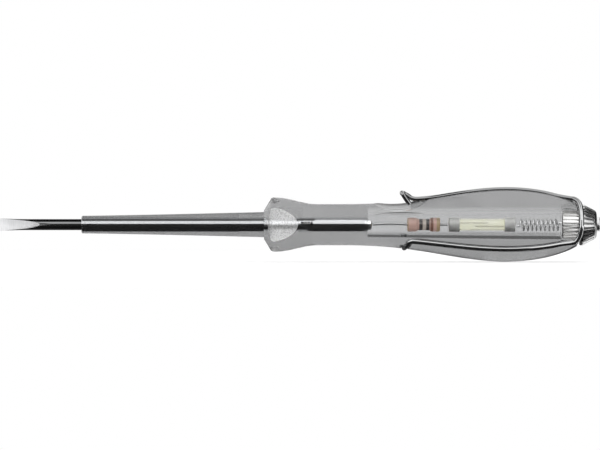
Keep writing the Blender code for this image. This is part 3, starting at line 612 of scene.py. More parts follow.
bore = make_clear_finish("bore_plastic", (0.93, 0.932, 0.935), grey(0.97), 0.01 * MM, 1.0)
joint = make_joint_finish()
frosted = make_frosted_finish()
lacquer = make_lacquer_finish()
ceramic = make_grained_finish("ceramic", (0.7, 0.68, 0.62), (0.86, 0.84, 0.78), 0.2 * MM, 4.0,
                              0.01 * MM, 0.6)
glass = make_glass_finish()
electrode_metal = make_grained_finish("electrode_nickel", (0.3, 0.28, 0.25), (0.66, 0.63, 0.58),
                                      0.4 * MM, 4.0, 0.01 * MM, 0.25, 1.0, 0.3)
print("finishes:", len(bpy.data.materials))


def hand_over(piece, node, material, body="tool", angle=30.0):
    """Smooths a piece and gives it its finish, its body and the solid that it stands for."""
    pick(piece)
    bpy.ops.object.shade_smooth_by_angle(angle=math.radians(angle))
    piece.data.materials.clear()
    piece.data.materials.append(material)
    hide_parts(node)
    if body:
        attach(piece, body)
    count(piece)


def coat_faces(piece, material, wanted):
    """Gives some of a piece's faces a second finish."""
    piece.data.materials.append(material)
    select_faces(piece, wanted)
    piece.active_material_index = len(piece.data.materials) - 1
    bpy.ops.object.material_slot_assign()
    leave_edit()


# %% [markdown]
# ## Blade
#
# The blade is a round bar, a little wider at the tip and ground flat on two sides. It could be
# carved from a cylinder, but it is easier to extrude a circle from ring to ring and to stretch
# the rings near the tip. Two bisecting planes then grind it, and leave the curved edge that the
# real grinding leaves.

# %% Extrude the bar and grind the tip
BLADE_RADIUS = 1.375 * MM
TIP_GRIND_END = 10.0 * MM
TIP_THICKNESS = 0.5 * MM
FLARE_LENGTH = 6.0 * MM
BLADE_CHAMFER = 0.3 * MM
BLADE_SIDES = 96


def extrude_bar(name, rings, sides):
    """Extrudes a circle through rings of (x, half depth, half height)."""
    deselect()
    x, depth, height = rings[0]
    bpy.ops.mesh.primitive_circle_add(vertices=sides, radius=depth, fill_type="NGON",
                                      location=(x, 0, 0), rotation=(0, math.pi / 2, 0))
    thing = settle(name)
    edit(thing)
    bpy.ops.mesh.select_mode(type="VERT")
    bpy.ops.transform.resize(value=(1, 1, height / depth), center_override=(x, 0, 0))
    for before, after in zip(rings, rings[1:]):
        bpy.ops.mesh.extrude_region_move(
            TRANSFORM_OT_translate={"value": (after[0] - before[0], 0, 0)})
        bpy.ops.transform.resize(value=(1, after[1] / before[1], after[2] / before[2]),
                                 center_override=(after[0], 0, 0))
    close_up()
    return thing


def flare(x):
    share = 1 - min(x / FLARE_LENGTH, 1.0)
    return between(BLADE_RADIUS, TIP_HALF_WIDTH, smooth_step(share))


def grind(thing, length):
    """Slices both sides off the tip along sloping planes."""
    slope = math.atan2(BLADE_RADIUS - TIP_THICKNESS / 2, length)
    for side in (-1, 1):
        slice_off(thing, (0, side * TIP_THICKNESS / 2, 0),
                  (-math.sin(slope), side * math.cos(slope), 0))


rings = [(x, BLADE_RADIUS, flare(x)) for x in stations(BLADE_FRONT, FLARE_LENGTH, 16)]
rings += [(x, BLADE_RADIUS, BLADE_RADIUS)
          for x in stations(FLARE_LENGTH, BLADE_REAR - BLADE_CHAMFER, 24)[1:]]
rings += [(BLADE_REAR, BLADE_RADIUS - BLADE_CHAMFER, BLADE_RADIUS - BLADE_CHAMFER)]
blade = extrude_bar("blade_bar", rings, BLADE_SIDES)
grind(blade, TIP_GRIND_END)
soften(blade, 0.03 * MM, 25.0)
hand_over(blade, "blade", chrome)
coat_faces(blade, ground, lambda middle, normal: middle.x < TIP_GRIND_END and abs(normal.y) > 0.98
           and abs(middle.y) < BLADE_RADIUS * middle.x / TIP_GRIND_END + TIP_THICKNESS)

# %% [markdown]
# ## Insulating sleeve
#
# A tapered tube of grey clear plastic covers the blade up to the handle. One closed profile gives
# both its outside and its bore, so light crosses real walls on its way to the metal.

# %% Turn the sleeve
BORE_RADIUS = BLADE_RADIUS + GAP
SLEEVE_FRONT_RADIUS = BORE_RADIUS + 0.525 * MM
SLEEVE_SWELL_POWER = 1.25
SLEEVE_EDGE_ROUND = 0.35 * MM


def sleeve_radius(x):
    share = min(max((x - SLEEVE_FRONT) / (HANDLE_FRONT - SLEEVE_FRONT), 0.0), 1.0)
    return between(SLEEVE_FRONT_RADIUS, SLEEVE_REAR_RADIUS, share ** SLEEVE_SWELL_POWER)


edge = SLEEVE_FRONT + SLEEVE_EDGE_ROUND
profile = [(SLEEVE_FRONT, BORE_RADIUS)]
profile += rounded(SLEEVE_FRONT, sleeve_radius(edge), SLEEVE_EDGE_ROUND)
profile += [(x, sleeve_radius(x)) for x in stations(edge, HANDLE_FRONT, 40)[1:]]
profile += [(SLEEVE_REAR, SLEEVE_REAR_RADIUS), (SLEEVE_REAR, BORE_RADIUS)]
sleeve = turn("sleeve_tube", profile, 96)
hand_over(sleeve, "blade_sleeve", smoky)
coat_faces(sleeve, joint, lambda middle, normal: middle.x > HANDLE_FRONT
           or off_axis(middle) < BORE_RADIUS + MERGE)

# %% [markdown]
# ## Wire clip's route
#
# The clip is one wire: a narrow return bend at its nose, the upper leg, a bar that crosses before
# the end cap, the lower leg and a hook whose end goes into the handle. Its route comes before the
# handle, because the handle has a groove where the wire lies. The route repeats the solids', and
# is worked out from the handle's own outline.

# %% Handle's outline
COLLAR_FRONT_RADIUS = SLEEVE_REAR_RADIUS + GAP + 0.15 * MM
COLLAR_CONE_RADIUS = 6.6 * MM
COLLAR_CONE_X = HANDLE_FRONT + 1.8 * MM
COLLAR_RADIUS = 6.85 * MM
CROWN_X = HANDLE_FRONT + 2.5 * MM
WAIST_FROM_X = HANDLE_FRONT + 13.5 * MM
WAIST_TO_X = HANDLE_FRONT + 19.0 * MM
WAIST_RADIUS = 5.15 * MM
BELLY_X = HANDLE_REAR - 18.0 * MM
BELLY_SWELL_POWER = 1.25
REAR_TAPER_LENGTH = 21.8 * MM


def handle_radius(x):
    """Radius of the handle's outside, before facets, scoop and grooves."""
    if x <= COLLAR_CONE_X:
        share = (x - HANDLE_FRONT) / (COLLAR_CONE_X - HANDLE_FRONT)
        return between(COLLAR_FRONT_RADIUS, COLLAR_CONE_RADIUS, share)
    if x <= CROWN_X:
        share = (x - COLLAR_CONE_X) / (CROWN_X - COLLAR_CONE_X)
        return between(COLLAR_CONE_RADIUS, COLLAR_RADIUS, math.sin(share * math.pi / 2))
    if x <= WAIST_TO_X:
        share = (x - CROWN_X) / (WAIST_FROM_X - CROWN_X)
        return between(COLLAR_RADIUS, WAIST_RADIUS, smooth_step(share))
    if x <= BELLY_X:
        share = ((x - WAIST_TO_X) / (BELLY_X - WAIST_TO_X)) ** BELLY_SWELL_POWER
        return between(WAIST_RADIUS, BELLY_RADIUS, smooth_step(share))
    share = (x - BELLY_X) / REAR_TAPER_LENGTH
    return BELLY_RADIUS * math.sqrt(max(1 - share ** 2, 0.0))


print("handle radius at the waist and the belly, mm:",
      [round(handle_radius(x) / MM, 2) for x in (WAIST_TO_X, BELLY_X)])

# %% Scoop under the clip's nose
CLIP_WIRE_RADIUS = 0.6 * MM
CLIP_MIDDLE_ANGLE = math.radians(16.5)
CLIP_HALF_SPREAD = math.radians(58.5)
UPPER_LEG_ANGLE = CLIP_MIDDLE_ANGLE + CLIP_HALF_SPREAD
LOWER_LEG_ANGLE = CLIP_MIDDLE_ANGLE - CLIP_HALF_SPREAD
CLIP_REAR = HANDLE_REAR + 0.7 * MM
CLIP_FRONT = CLIP_REAR - 41.8 * MM
SCOOP_X = CLIP_FRONT - 4.4 * MM
SCOOP_DEPTH = 1.38 * MM
SCOOP_RADIUS = 15.0 * MM
SCOOP_MIDDLE = handle_radius(SCOOP_X) - SCOOP_DEPTH + SCOOP_RADIUS


def scoop_floor(x):
    return SCOOP_MIDDLE - math.sqrt(SCOOP_RADIUS ** 2 - (x - SCOOP_X) ** 2)


# %% Crossbar and legs
CLIP_SINK = 0.15 * MM
BAR_RADIUS = 5.2 * MM + GAP + CLIP_WIRE_RADIUS
CORNER_X = CLIP_REAR - 2.6 * MM
CORNER_RISE = 0.65 * MM
CORNER_POWER = 2.5
REAR_BLEND = 3.6 * MM
FRONT_BLEND = 4.6 * MM
FRONT_RISE = 0.33 * MM


def bar_point(sweep):
    """A point of the crossbar, from -90 degrees at the lower leg to 90 at the upper one."""
    share = abs(math.sin(sweep)) ** (2 / CORNER_POWER)
    drop = 1 - abs(math.cos(sweep)) ** (2 / CORNER_POWER)
    angle = CLIP_MIDDLE_ANGLE + math.copysign(share, sweep) * CLIP_HALF_SPREAD
    return around(between(CLIP_REAR, CORNER_X, drop), BAR_RADIUS + CORNER_RISE * share ** 4, angle)


def leg_height(x, front_rise):
    """Distance of a leg's wire from the axis: half sunk, and raised at both ends."""
    lift = BAR_RADIUS + CORNER_RISE - handle_radius(CORNER_X) + CLIP_SINK
    at_rear = smooth_step((x - CORNER_X + REAR_BLEND) / REAR_BLEND)
    at_front = smooth_step((CLIP_FRONT + FRONT_BLEND - x) / FRONT_BLEND)
    return handle_radius(x) - CLIP_SINK + lift * at_rear + front_rise * at_front


# %% Nose and hook
NOSE_REACH = 2.95 * MM
NOSE_RISE = 1.7 * MM
NOSE_WIDTH = 1.4 * MM
NOSE_RETURN = 1.95 * MM
HOOK_CORNER = 1.5 * MM
HOOK_BEND = 1.3 * MM
HOOK_DEPTH = 2.0 * MM
HOOK_X = CLIP_FRONT - 2.4 * MM
HOOK_ANGLE = LOWER_LEG_ANGLE - math.radians(52.0)


def nose_knots():
    """The nose's free end, its narrow return bend and the bend down to the upper leg."""
    shares = [(0.6, 0.6, 0.0), (0.9, 0.9, 0.1), (1.0, 1.0, 0.5), (0.9, 0.86, 0.9)]
    base = leg_height(CLIP_FRONT, FRONT_RISE + CLIP_SINK)
    nose = [around(CLIP_FRONT - NOSE_REACH * back, base + NOSE_RISE * up, UPPER_LEG_ANGLE,
                   NOSE_WIDTH * side) for back, up, side in shares]
    end_x = CLIP_FRONT - NOSE_REACH + NOSE_RETURN
    end_height = scoop_floor(end_x) + GAP + CLIP_WIRE_RADIUS
    strand = [around((end_x + CLIP_FRONT - NOSE_REACH) / 2, (end_height + base + NOSE_RISE) / 2,
                     UPPER_LEG_ANGLE, NOSE_WIDTH),
              around(end_x, end_height, UPPER_LEG_ANGLE, NOSE_WIDTH)]
    return list(reversed(nose + strand))


def hook_knots():
    """The bend out of the lower leg, the sweep under the handle and the end that goes in."""
    knots = []
    base = handle_radius(CLIP_FRONT) - CLIP_SINK
    for angle in stations(0, math.pi / 2, 4):
        x = CLIP_FRONT - HOOK_CORNER * math.sin(angle)
        turned = HOOK_CORNER * (1 - math.cos(angle)) / base
        knots.append(around(x, handle_radius(x) - CLIP_SINK, LOWER_LEG_ANGLE - turned))
    first_angle = LOWER_LEG_ANGLE - HOOK_CORNER / base
    swept = CLIP_FRONT - HOOK_CORNER
    for share in stations(0, 1, 3)[1:]:
        x = between(swept, HOOK_X, math.sin(share * math.pi / 2))
        knots.append(around(x, handle_radius(x) - CLIP_SINK,
                            between(first_angle, HOOK_ANGLE, share)))
    height = handle_radius(HOOK_X) - CLIP_SINK
    for angle in (math.pi / 6, math.pi / 3, math.pi / 2):
        knots.append(around(HOOK_X, height - HOOK_BEND * (1 - math.cos(angle)), HOOK_ANGLE,
                            HOOK_BEND * math.sin(angle)))
    return knots + [around(HOOK_X, height - HOOK_DEPTH, HOOK_ANGLE, HOOK_BEND)]


# %% The whole route, smoothed


def held_knots():
    legs = stations(CLIP_FRONT, CORNER_X, 13)
    knots = [around(x, leg_height(x, FRONT_RISE + CLIP_SINK), UPPER_LEG_ANGLE) for x in legs[:-1]]
    knots += [bar_point(sweep) for sweep in stations(math.pi / 2, -math.pi / 2, 14)]
    knots += [around(x, leg_height(x, 0.0), LOWER_LEG_ANGLE) for x in reversed(legs[1:-1])]
    return knots + hook_knots()


def smooth_path(knots, steps):
    """A smooth curve through the knots, with a number of steps to each span."""
    guide = [knots[0] * 2 - knots[1]] + knots + [knots[-1] * 2 - knots[-2]]
    path = []
    for a, b, c, d in zip(guide, guide[1:], guide[2:], guide[3:]):
        for t in (i / steps for i in range(steps)):
            path.append((b * 2 + (c - a) * t + (a * 2 - b * 5 + c * 4 - d) * t ** 2
                         + (b * 3 - a - c * 3 + d) * t ** 3) / 2)
    return path + [knots[-1]]


clip_route = smooth_path(nose_knots() + held_knots(), 6)
groove_route = smooth_path(held_knots(), 2)
wire_length = sum((b - a).length for a, b in zip(clip_route, clip_route[1:]))
print("clip wire, mm:", round(wire_length / MM, 1))

# %% [markdown]
# ## Handle
#
# One thick moulding of clear plastic, and the piece that decides how everything inside looks. It
# is a lens: a coarse mesh would show its facets in every refraction, so the profile has many
# stations and many sides. Three flats on the collar are bisected off, the scoop under the clip's
# nose is cut by a drum and the wire's groove by a thicker copy of the wire.

# %% Profile of the handle, with its bores
INSERT_FRONT, INSERT_REAR, INSERT_RADIUS = span("threaded_insert")
POCKET_RADIUS = INSERT_RADIUS + GAP
CHAMBER_FRONT_RADIUS = 2.5 * MM
CHAMBER_REAR_RADIUS = 2.95 * MM
SLEEVE_POCKET_RADIUS = SLEEVE_REAR_RADIUS + GAP
REAR_EDGE_ROUND = 0.35 * MM

places = [HANDLE_FRONT] + stations(COLLAR_CONE_X, CROWN_X, 5)
places += stations(CROWN_X, WAIST_FROM_X, 26)[1:] + stations(WAIST_FROM_X, WAIST_TO_X, 6)[1:]
places += stations(WAIST_TO_X, BELLY_X, 48)[1:]
taper = math.asin((HANDLE_REAR - REAR_EDGE_ROUND - BELLY_X) / REAR_TAPER_LENGTH)
places += [BELLY_X + REAR_TAPER_LENGTH * math.sin(angle) for angle in stations(0, taper, 26)[1:]]
profile = [(x, handle_radius(x)) for x in places]
rear_rim = handle_radius(HANDLE_REAR) - REAR_EDGE_ROUND
profile += [(HANDLE_REAR, rear_rim), (HANDLE_REAR, POCKET_RADIUS)]
pocket_floor = INSERT_FRONT - GAP
profile += [(pocket_floor, POCKET_RADIUS), (pocket_floor, CHAMBER_REAR_RADIUS)]
profile += [(CHAMBER_FRONT, CHAMBER_FRONT_RADIUS), (CHAMBER_FRONT, BORE_RADIUS)]
sleeve_floor = SLEEVE_REAR + GAP
profile += [(sleeve_floor, BORE_RADIUS), (sleeve_floor, SLEEVE_POCKET_RADIUS)]
profile += [(HANDLE_FRONT, SLEEVE_POCKET_RADIUS)]
handle = turn("handle_body", profile, 144)

# %% Flats on the collar
FACET_DEPTH = 1.45 * MM
FACET_LENGTH = 6.0 * MM
facet_front = COLLAR_RADIUS - FACET_DEPTH
facet_slope = math.atan2(handle_radius(CROWN_X + FACET_LENGTH) - facet_front, FACET_LENGTH)
facet_normals = []
for angle in (0.0, math.tau / 3, math.tau * 2 / 3):
    facet_normals.append(around(-math.sin(facet_slope), math.cos(facet_slope), angle))
    slice_off(handle, around(CROWN_X, facet_front, angle), facet_normals[-1])
count(handle)

# %% Scoop and groove
deselect()
bpy.ops.mesh.primitive_cylinder_add(vertices=360, radius=SCOOP_RADIUS, depth=2 * BELLY_RADIUS,
                                    location=around(SCOOP_X, SCOOP_MIDDLE, UPPER_LEG_ANGLE),
                                    rotation=(-UPPER_LEG_ANGLE, 0, 0))
boolean(handle, settle("scoop_drum"), "DIFFERENCE")
groove_wire = bend_wire("groove_wire", groove_route, CLIP_WIRE_RADIUS + GAP, 3)
boolean(handle, groove_wire, "DIFFERENCE")
hand_over(handle, "handle", clear, angle=24.0)
coat_faces(handle, bore, lambda middle, normal: off_axis(middle) < POCKET_RADIUS + MERGE)
coat_faces(handle, joint, lambda middle, normal: middle.x < CHAMBER_FRONT - MERGE
           and off_axis(middle) < SLEEVE_POCKET_RADIUS + MERGE
           and abs(middle.x - HANDLE_FRONT) > MERGE)
coat_faces(handle, frosted, lambda middle, normal: middle.x < WAIST_FROM_X
           and any(normal.dot(facet) > 0.9995 for facet in facet_normals))
print("frosted faces:", sum(face.material_index == 3 for face in handle.data.polygons))

# %% [markdown]
# ## Resistor
#
# The lacquered resistor is bone shaped, because metal cups at its ends carry the leads. Its coat is
# turned as a closed shell, and the colour bands are in its finish, by their place along the tool.

# %% Turn the coat
LACQUER = 0.31 * MM
CUP_END = 2.33 * MM
MIDDLE_RADIUS = 1.43 * MM
LEAD_HOLE = 0.42 * MM
half = [(0, LEAD_HOLE)] + rounded(0, RESISTOR_RADIUS, LACQUER)
half += [(CUP_END - 0.3 * MM + 0.8 * MM * share,
          between(RESISTOR_RADIUS, MIDDLE_RADIUS, smooth_step(share)))
         for share in stations(0, 1, 10)]
length = RESISTOR_REAR - RESISTOR_FRONT
profile = half + [(length - x, radius) for x, radius in reversed(half)]
profile = [(RESISTOR_FRONT + x, radius) for x, radius in profile]
wall = 0.15 * MM
profile += [(RESISTOR_REAR - wall, LEAD_HOLE), (RESISTOR_REAR - wall, MIDDLE_RADIUS - wall)]
profile += [(RESISTOR_FRONT + wall, MIDDLE_RADIUS - wall), (RESISTOR_FRONT + wall, LEAD_HOLE)]
coat = turn("lacquer_coat", profile, 64)
hand_over(coat, "resistor_coat", lacquer)

# %% Leads, slightly bent as hand-trimmed wires are
LEAD_RADIUS = 0.3 * MM
for node, name, bow in (("resistor_front_lead", "front_lead_wire", 0.25 * MM),
                        ("resistor_rear_lead", "rear_lead_wire", 0.0)):
    start, end, _ = span(node)
    knots = [Vector((x, 0, bow * math.sin(math.pi * share)))
             for share, x in zip(stations(0, 1, 8), stations(start, end, 8))]
    lead = bend_wire(name, smooth_path(knots, 3), LEAD_RADIUS, 3)
    hand_over(lead, node, tinned, angle=50.0)

# %% [markdown]
# ## Neon lamp
#
# A small glass tube with a metal cap on each end. Inside, two nickel rods lie side by side and
# glow when the blade touches a live wire. The tube's ends are necked down round the rods.

# %% Turn the glass and the caps
LAMP_WALL = 0.3 * MM
CAP_WALL = 0.18 * MM
NECK = 1.0 * MM
NECK_POWER = 1.6
ROD_RADIUS = 0.22 * MM
glass_front, glass_rear, glass_radius = span("lamp_glass")
ROD_HOLE = ROD_RADIUS + 0.12 * MM


def necked(start, hole, radius, steps):
    """A necked end of the tube, from its hole to its full radius."""
    return [(between(start, NECK, share),
             between(hole, radius, math.sin(share * math.pi / 2) ** NECK_POWER))
            for share in stations(0, 1, steps)]


half = [(0, ROD_HOLE)] + necked(0, ROD_HOLE + LAMP_WALL, glass_radius, 10)
inner = necked(NECK / 2, ROD_HOLE, glass_radius - LAMP_WALL, 8)
length = glass_rear - glass_front
profile = half + [(length - x, radius) for x, radius in reversed(half)]
profile += [(length - x, radius) for x, radius in inner] + list(reversed(inner))
profile = [(glass_front + x, radius) for x, radius in profile]
bulb = turn("lamp_tube", profile, 64)
hand_over(bulb, "lamp_glass", glass, angle=45.0)

for node, name, way in (("lamp_front_cap", "lamp_front_cup", 1),
                        ("lamp_rear_cap", "lamp_rear_cup", -1)):
    start, end, radius = span(node)
    face, rim = (start, end) if way > 0 else (end, start)
    profile = [(face, 0)] + rounded(face, radius, CAP_WALL, way, 4)
    profile += [(rim, radius), (rim, radius - CAP_WALL)]
    profile += [(face + way * CAP_WALL, radius - CAP_WALL), (face + way * CAP_WALL, 0)]
    hand_over(turn(name, profile, 64), node, lamp_metal)

# %% Bend the two rods
ROD_SHIFT = 0.45 * MM
ROD_BEND = 0.9 * MM
for node, name, way in (("lamp_front_electrode", "front_rod", 1),
                        ("lamp_rear_electrode", "rear_rod", -1)):
    start, end, _ = span(node)
    foot, tip = (start, end) if way > 0 else (end, start)
    knots = [Vector((foot + way * x, 0, 0)) for x in (0, NECK / 2, NECK)]
    knots += [Vector((foot + way * (NECK + ROD_BEND + x), 0, way * ROD_SHIFT))
              for x in (0, ROD_BEND)]
    knots += [Vector((tip, 0, way * ROD_SHIFT))]
    rod = bend_wire(name, smooth_path(knots, 6), ROD_RADIUS, 3)
    hand_over(rod, node, electrode_metal, angle=50.0)

# %% [markdown]
# ## Contact spring
#
# The spring presses the lamp forwards and carries the current to the end cap. It is one helix,
# worked out by a loop. When the cap is unscrewed the spring lengthens, so its front end stays
# with the tool and its rear end follows the cap.

# %% Wind the spring
WIRE = 0.225 * MM
SPRING_RADIUS = 1.42 * MM
CURLS = 9
CURL_STEPS = 32
END_BEND = 0.4 * MM
spring_front, spring_rear, _ = span("contact_spring")
first = spring_front + 2 * WIRE + END_BEND
last = spring_rear - 2 * WIRE - END_BEND
path = [around(x, SPRING_RADIUS, math.tau * i / CURL_STEPS)
        for i, x in enumerate(stations(first, last, CURLS * CURL_STEPS))]


def spring_end(corner, way, angle):
    """The wire turns into the tool's direction and runs straight for a moment."""
    tangent = around(0, 0, angle, -1.0) * way
    bend = [corner + tangent * END_BEND * math.sin(turned)
            + Vector((way * END_BEND * (1 - math.cos(turned)), 0, 0))
            for turned in stations(0, math.pi / 2, 5)[1:]]
    return bend + [bend[-1] + Vector((way * 2 * WIRE, 0, 0))]


path = list(reversed(spring_end(path[0], -1, 0.0))) + path
path += spring_end(path[-1], 1, math.tau * CURLS)
spring = bend_wire("spring_wire", path, WIRE, 2)
hand_over(spring, "contact_spring", spring_steel, body=None, angle=60.0)
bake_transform(spring)

# %% [markdown]
# ## Threaded bush, end cap and touch button
#
# The bush is moulded into the handle, and its knurl keeps it from turning. The cap's knurl is for
# the fingers. Both knurls are cut the same way: the turned piece has ten strips of faces to each
# rib, four of them are selected by their angle and sunk, and a bevel takes the sharpness off. The
# cap's thread is a ridge wound on a core.

# %% Cut a knurl
RIBS = 24
STRIPS = 10
GROOVE_STRIPS = 4


def cut_knurl(thing, first, last, core, depth):
    """Sinks a groove beside each rib, between two places and outside a core."""

    def in_groove(middle, normal):
        turned = math.atan2(middle.y, middle.z) / math.tau * RIBS * STRIPS
        return (off_axis(middle) > core and first < middle.x < last and abs(normal.x) < 0.9
                and math.floor(turned) % STRIPS < GROOVE_STRIPS)

    select_faces(thing, in_groove)
    bpy.ops.mesh.extrude_region_shrink_fatten(TRANSFORM_OT_shrink_fatten={"value": -depth})
    leave_edit()


# %% Bush
BUSH_BORE = 2.35 * MM
CHAMFER = 0.3 * MM
profile = [(INSERT_FRONT, BUSH_BORE), (INSERT_FRONT, INSERT_RADIUS - CHAMFER)]
profile += [(INSERT_FRONT + CHAMFER, INSERT_RADIUS), (INSERT_REAR - CHAMFER, INSERT_RADIUS)]
profile += [(INSERT_REAR, INSERT_RADIUS - CHAMFER), (INSERT_REAR, BUSH_BORE)]
bush = turn("knurled_bush", profile, RIBS * STRIPS)
cut_knurl(bush, INSERT_FRONT, INSERT_REAR, INSERT_RADIUS - CHAMFER / 2, 0.2 * MM)
soften(bush, 0.04 * MM)
hand_over(bush, "threaded_insert", nickelled)

# %% End cap's head
CAP_RADIUS = 5.2 * MM
BUTTON_FRONT = CAP_REAR - 0.5 * MM
BUTTON_RADIUS = 1.95 * MM
RECESS_RADIUS = BUTTON_RADIUS + GAP
RECESS_FLOOR = BUTTON_FRONT - GAP
cap_shares = [(0.0, 0.955), (0.03, 0.985), (0.07, 1.0), (0.18, 0.995), (0.27, 0.97), (0.36, 0.935),
              (0.48, 0.883), (0.6, 0.83), (0.72, 0.778), (0.84, 0.725), (0.9, 0.69), (0.95, 0.65),
              (0.985, 0.6), (1.0, 0.56)]
profile = [(CAP_FRONT, 0)]
profile += [(between(CAP_FRONT, CAP_REAR, along), CAP_RADIUS * out) for along, out in cap_shares]
profile += [(CAP_REAR, RECESS_RADIUS), (RECESS_FLOOR, RECESS_RADIUS), (RECESS_FLOOR, 0)]
cap = turn("cap_head", profile, RIBS * STRIPS)
cut_knurl(cap, between(CAP_FRONT, CAP_REAR, 0.14), between(CAP_FRONT, CAP_REAR, 0.86),
          RECESS_RADIUS + GAP, 0.28 * MM)
soften(cap, 0.05 * MM)

# %% Spigot with its thread
SPIGOT_FRONT = span("end_cap")[0]
SPIGOT_CORE = 2.12 * MM
THREAD_RADIUS = 2.5 * MM
PITCH = 0.8 * MM
RIDGE = 0.27 * MM
spigot = turn("spigot_core", [(SPIGOT_FRONT, 0), (SPIGOT_FRONT, SPIGOT_CORE - CHAMFER),
                              (SPIGOT_FRONT + CHAMFER, SPIGOT_CORE), (CAP_FRONT + GAP, SPIGOT_CORE),
                              (CAP_FRONT + GAP, 0)], 96)
turns = (CAP_FRONT - SPIGOT_FRONT - 2 * RIDGE) / PITCH
steps = round(turns * 40)
ridge_path = [around(SPIGOT_FRONT + RIDGE * 1.2 + PITCH * wound, THREAD_RADIUS - RIDGE,
                     -math.tau * wound) for wound in stations(0, turns, steps)]
ridge = bend_wire("thread_ridge", ridge_path, RIDGE, 2)
boolean(spigot, ridge, "UNION")
boolean(cap, spigot, "UNION")
hand_over(cap, "end_cap", plated, "cap")

# %% Touch button
BUTTON_REAR = span("contact_button")[1]
BUTTON_ROUND = 0.25 * MM
SHANK_RADIUS = 0.8 * MM
profile = [(BUTTON_FRONT, 0), (BUTTON_FRONT, BUTTON_RADIUS)]
profile += reversed(rounded(BUTTON_REAR, BUTTON_RADIUS, BUTTON_ROUND, -1))
profile += [(BUTTON_REAR, 0)]
button = turn("touch_button", profile, 96)
hand_over(button, "contact_button", button_metal, "cap")

# %% [markdown]
# ## Wire clip
#
# The wire flexes in its upper leg when it is slid over a pocket's edge. So the clip is bent as two
# pieces that meet in one line: the arm, which turns with the flexing leg and stays with the tool at
# its end, and the rest, which never moves.

# %% Bend the arm and the frame
ARM_END = 0.1428
bar_start = next(i for i, point in enumerate(clip_route) if point.x > ARM_END)
arm = bend_wire("clip_arm_wire", clip_route[:bar_start + 1], CLIP_WIRE_RADIUS, 5)
hand_over(arm, "clip_arm", clip_steel, body=None, angle=60.0)
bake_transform(arm)
rest = bend_wire("clip_frame_wire", clip_route[bar_start:], CLIP_WIRE_RADIUS, 5)
hand_over(rest, "clip_frame", clip_steel, angle=60.0)

# %% [markdown]
# ## What stays as it was packed
#
# The resistor's ceramic core and its two cups are closed in by the lacquer. Their solids have the
# right shape, so they only get a finish.

# %% Finish the inner solids
for node, material in (("resistor_core", ceramic), ("resistor_front_cap", tinned),
                       ("resistor_rear_cap", tinned)):
    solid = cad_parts[node]
    solid.data.materials.clear()
    solid.data.materials.append(material)
    print(node, "keeps its solid")

# %% [markdown]
# ## Studio
#
# Chrome and clear plastic have no look of their own, they show the room. The room here is white,
# with dark and bright cards round the tool, as a photographer would hold them to draw lines along
# the metal. A card shows only to light that a mirror has thrown back, which Light Path's Glossy
# Depth tells. Light that goes straight through the plastic finds white there, as everywhere. Some
# cards are for bare metal, others for metal that is seen through the plastic.

# %% Camera
VIEW_WIDTH = 0.150
CAMERA_DISTANCE = 1.5
SENSOR = 36.0
CAMERA_DROP = 0.1 * MM
deselect()
bpy.ops.object.camera_add(location=(VIEW_WIDTH / 2, -CAMERA_DISTANCE, -CAMERA_DROP),
                          rotation=(math.pi / 2, 0, 0))
camera = bpy.context.object
camera.data.sensor_width = SENSOR
camera.data.lens = SENSOR * CAMERA_DISTANCE / VIEW_WIDTH
camera.data.clip_end = 20.0
bpy.context.scene.camera = camera
bpy.context.scene.view_settings.view_transform = "Standard"
print("lens, mm:", round(camera.data.lens, 1))

# %% White room
ROOM_LIGHT = 0.6
world = bpy.data.worlds.new("white_room")
world.use_nodes = True
bpy.context.scene.world = world
room = Graph(world.node_tree)
rays = [room.node("ShaderNodeLightPath", {}, {}, output)
        for output in ("Is Camera Ray", "Is Glossy Ray", "Is Transmission Ray")]
seen = rays[0].at_least(rays[1]).at_least(rays[2])
level = room.node("ShaderNodeMapRange", {}, {"Value": seen, "To Min": ROOM_LIGHT})
background = room.tree.nodes["Background"]
room.feed(background.inputs["Color"], (1.0, 1.0, 1.0, 1.0))
room.feed(background.inputs["Strength"], level)
print("the room lights the tool at", ROOM_LIGHT, "and is seen as 1")

# %% Floor
FLOOR_DROP = 9.35 * MM
CENTRE = VIEW_WIDTH / 2


def stage_plane(name, size, place, rotation, paint):
    """A flat card or floor that belongs to the studio."""
    deselect()
    bpy.ops.mesh.primitive_plane_add(size=1, location=place, rotation=rotation)
    bpy.context.object.scale = (*size, 1)
    thing = settle(name)
    thing.data.materials.append(paint.material)
    return thing


floor_paint = Finish("floor_paint", grey(0.9), 0.9,
                     emission_color=(0.9, 0.9, 0.9, 1.0), emission_strength=0.25)
stage_plane("floor", (1.6, 1.2), (CENTRE, 0, -FLOOR_DROP), (0, 0, 0), floor_paint)

# %% Ways to hold a card
CARD_START = -0.045
CARD_END = 0.2
CARD_LIFT = 0.05 * MM
GLOSSY, THROUGH = ("glossy",), ("transmission",)
BOTH = GLOSSY + THROUGH


def make_card(name, size, place, rotation, glow, seen_by):
    """A card whose glow only mirrored light sees: any other ray finds the white of the room."""
    paint = Finish(name + "_paint", grey(0.0), 0.9, emission_strength=1.0)
    mirrored = paint.node("ShaderNodeLightPath", {}, {}, "Glossy Depth") > 0.5
    paint.set("Emission Color", paint.mix(mirrored, grey(1.0), grey(glow)))
    card = stage_plane(name, size, place, rotation, paint)
    for ray in ("camera", "diffuse", "shadow", "glossy", "transmission"):
        setattr(card, "visible_" + ray, ray in seen_by)


def arch_card(name, low, high, glow=0.0, seen_by=BOTH, reach=0.35, start=CARD_START, end=CARD_END):
    """Holds a card between two angles over the line of sight, square to the tool."""
    middle = math.radians(low + high) / 2
    width = 2 * reach * math.tan(math.radians(high - low) / 2)
    place = around((start + end) / 2, reach, middle)
    make_card(name, (end - start, width), place, (-middle - math.pi / 2, 0, 0), glow, seen_by)


